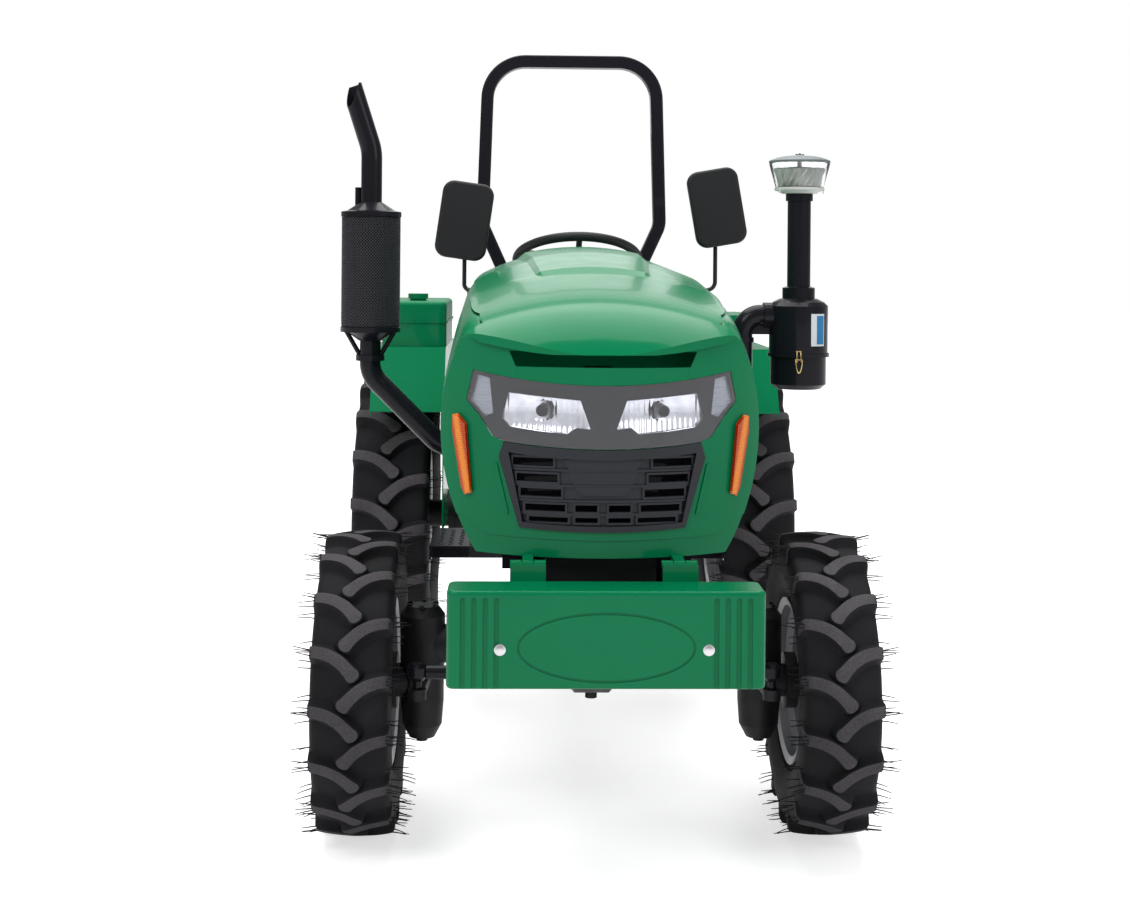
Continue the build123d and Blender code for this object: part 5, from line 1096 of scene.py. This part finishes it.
def channel(piece, test, depth):
    """Sewn channels: points are drawn in along their normals by a depth that test gives (0 to 1)."""
    mesh = piece.data
    moves = [vertex.normal * -depth * test(vertex.co) for vertex in mesh.vertices]
    for vertex, move in zip(mesh.vertices, moves):
        vertex.co += move
    mesh.polygons.foreach_set("use_smooth", [True] * len(mesh.polygons))


def ridge(value, spot, width):
    return math.exp(-((value - spot) / width) ** 2)


SEAT_X = 225 * MM
SEAT_TOP = 985 * MM
SEAM_WIDE = 5 * MM
SEAM_DEEP = 7 * MM
SEAM_X = 95 * MM  # the cushion's two long seams
SIDE_SEAM_Z = 30 * MM  # its side seam over its foot
BACK_SEAMS = (1110 * MM, 1190 * MM, 1270 * MM)
BACK_SHIFT, BACK_LEAN = -15 * MM, 28 * MM
seat_low, seat_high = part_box("seat")
cushion_low = Vector((-SEAT_X, seat_low.y, seat_low.z + 1 * MM))
cushion_high = Vector((SEAT_X, seat_low.y + 345 * MM, SEAT_TOP))
back_low = Vector((-205 * MM, seat_low.y + 300 * MM, SEAT_TOP - 2 * MM))
back_high = Vector((205 * MM, seat_low.y + 392 * MM, seat_high.z))


def cushion_seams(p):
    on_top = 1.0 if p.z > SEAT_TOP - 40 * MM else 0.0
    return (on_top * max(ridge(p.x, side * SEAM_X, SEAM_WIDE) for side in (1, -1))
            + 0.8 * ridge(p.z, cushion_low.z + SIDE_SEAM_Z, 3 * MM))


def back_seams(p):
    return max(ridge(p.z, z, SEAM_WIDE) for z in BACK_SEAMS) if p.y < back_low.y + 40 * MM else 0.0


piece = cushion("seat_cushion", cushion_low, cushion_high, 26 * MM)
channel(piece, cushion_seams, SEAM_DEEP)
place_piece(piece, "chassis", "seat_vinyl", "seat")
piece = cushion("seat_back", back_low, back_high, 30 * MM)
channel(piece, back_seams, SEAM_DEEP)
for vertex in piece.data.vertices:
    rise = (vertex.co.z - back_low.z) / (back_high.z - back_low.z)
    vertex.co.y += BACK_SHIFT + BACK_LEAN * rise
place_piece(piece, "chassis", "seat_vinyl")

PIPING_INSET = 20 * MM
middle_y = (cushion_low.y + cushion_high.y) / 2.0
ring = [Vector((x, middle_y + y, SEAT_TOP - 16 * MM))
        for x, y in rounded(SEAT_X - PIPING_INSET, (cushion_high.y - cushion_low.y) / 2.0 - PIPING_INSET,
                            45 * MM, out=14 * MM)]
add_piece("seat_piping", [pipe(ring + ring[:1], 3.2 * MM, 10)], "chassis", "seat_vinyl")

# ---- floor, light
FLOOR_SIZE = 60.0
FLOOR_GLOW = (0.62, 1.0)  # near the tractor and far from it
FLOOR_FADE = (2.5, 9.0)
WORLD_LEVEL = 0.34  # of the world's white, for light and mirror rays


def either(nodes, *kinds):
    """One for a ray of any of these kinds, else zero."""
    rays = nodes.node("ShaderNodeLightPath").outputs
    seen = rays[kinds[0]]
    for kind in kinds[1:]:
        seen = nodes.maths("MAXIMUM", seen, rays[kind])
    return seen


def make_floor():
    """A pale floor with a glow that only camera, mirror and glass rays meet, so that it reads white."""
    mesh = bpy.data.meshes.new("floor")
    half = FLOOR_SIZE / 2.0
    corners = [(-half, -half, 0), (half, -half, 0), (half, half, 0), (-half, half, 0)]
    mesh.from_pydata(corners, [], [(0, 1, 2, 3)])
    finish = Finish("floor")
    finish.set(color=(0.86, 0.86, 0.87), rough=0.9, specular=0.0)
    far = finish.node("ShaderNodeVectorMath")
    far.operation = "LENGTH"
    finish.link(finish.place(), far.inputs[0])
    seen = either(finish, "Is Camera Ray", "Is Glossy Ray", "Is Transmission Ray")
    glow = finish.node("ShaderNodeEmission")
    level = finish.maths("MULTIPLY", seen, finish.remap(far.outputs["Value"], *FLOOR_GLOW, *FLOOR_FADE))
    finish.link(level, glow.inputs["Strength"])
    total = finish.node("ShaderNodeAddShader")
    finish.link(finish.bsdf.outputs[0], total.inputs[0])
    finish.link(glow.outputs[0], total.inputs[1])
    finish.link(total.outputs[0], finish.tree.nodes["Material Output"].inputs["Surface"])
    mesh.materials.append(finish.mat)
    new_object("floor", mesh)


def make_world():
    world = bpy.data.worlds.new("studio")
    world.use_nodes = True
    bpy.context.scene.world = world
    nodes = Nodes(world.node_tree)
    backdrop = nodes.tree.nodes["Background"]
    backdrop.inputs["Color"].default_value = (1.0, 1.0, 1.0, 1.0)
    seen = either(nodes, "Is Camera Ray", "Is Transmission Ray")
    nodes.link(nodes.remap(seen, WORLD_LEVEL, 1.0), backdrop.inputs["Strength"])


def make_lamp(name, place, aim, size, power):
    data = bpy.data.lights.new(name, "AREA")
    data.shape = "RECTANGLE"
    data.size, data.size_y = size
    data.energy = power
    lamp = new_object(name, data)
    lamp.location = place
    lamp.rotation_euler = (Vector(aim) - Vector(place)).to_track_quat("-Z", "Y").to_euler()


make_floor()
make_world()
LAMPS = [  # name, place, aim, size, power
    ("key", (-2.6, -4.2, 4.6), (0.0, -0.4, 0.8), (2.6, 2.6), 115.0),
    ("fill", (3.4, -3.6, 3.0), (0.0, -0.4, 0.8), (2.4, 2.4), 50.0),
    ("top", (0.0, 0.6, 5.2), (0.0, 0.2, 0.8), (4.0, 5.0), 290.0),
    ("back", (0.5, 4.6, 3.4), (0.0, 0.6, 1.0), (4.0, 3.0), 40.0),
]
for lamp_row in LAMPS:
    make_lamp(*lamp_row)

bpy.context.scene.view_settings.view_transform = "Standard"
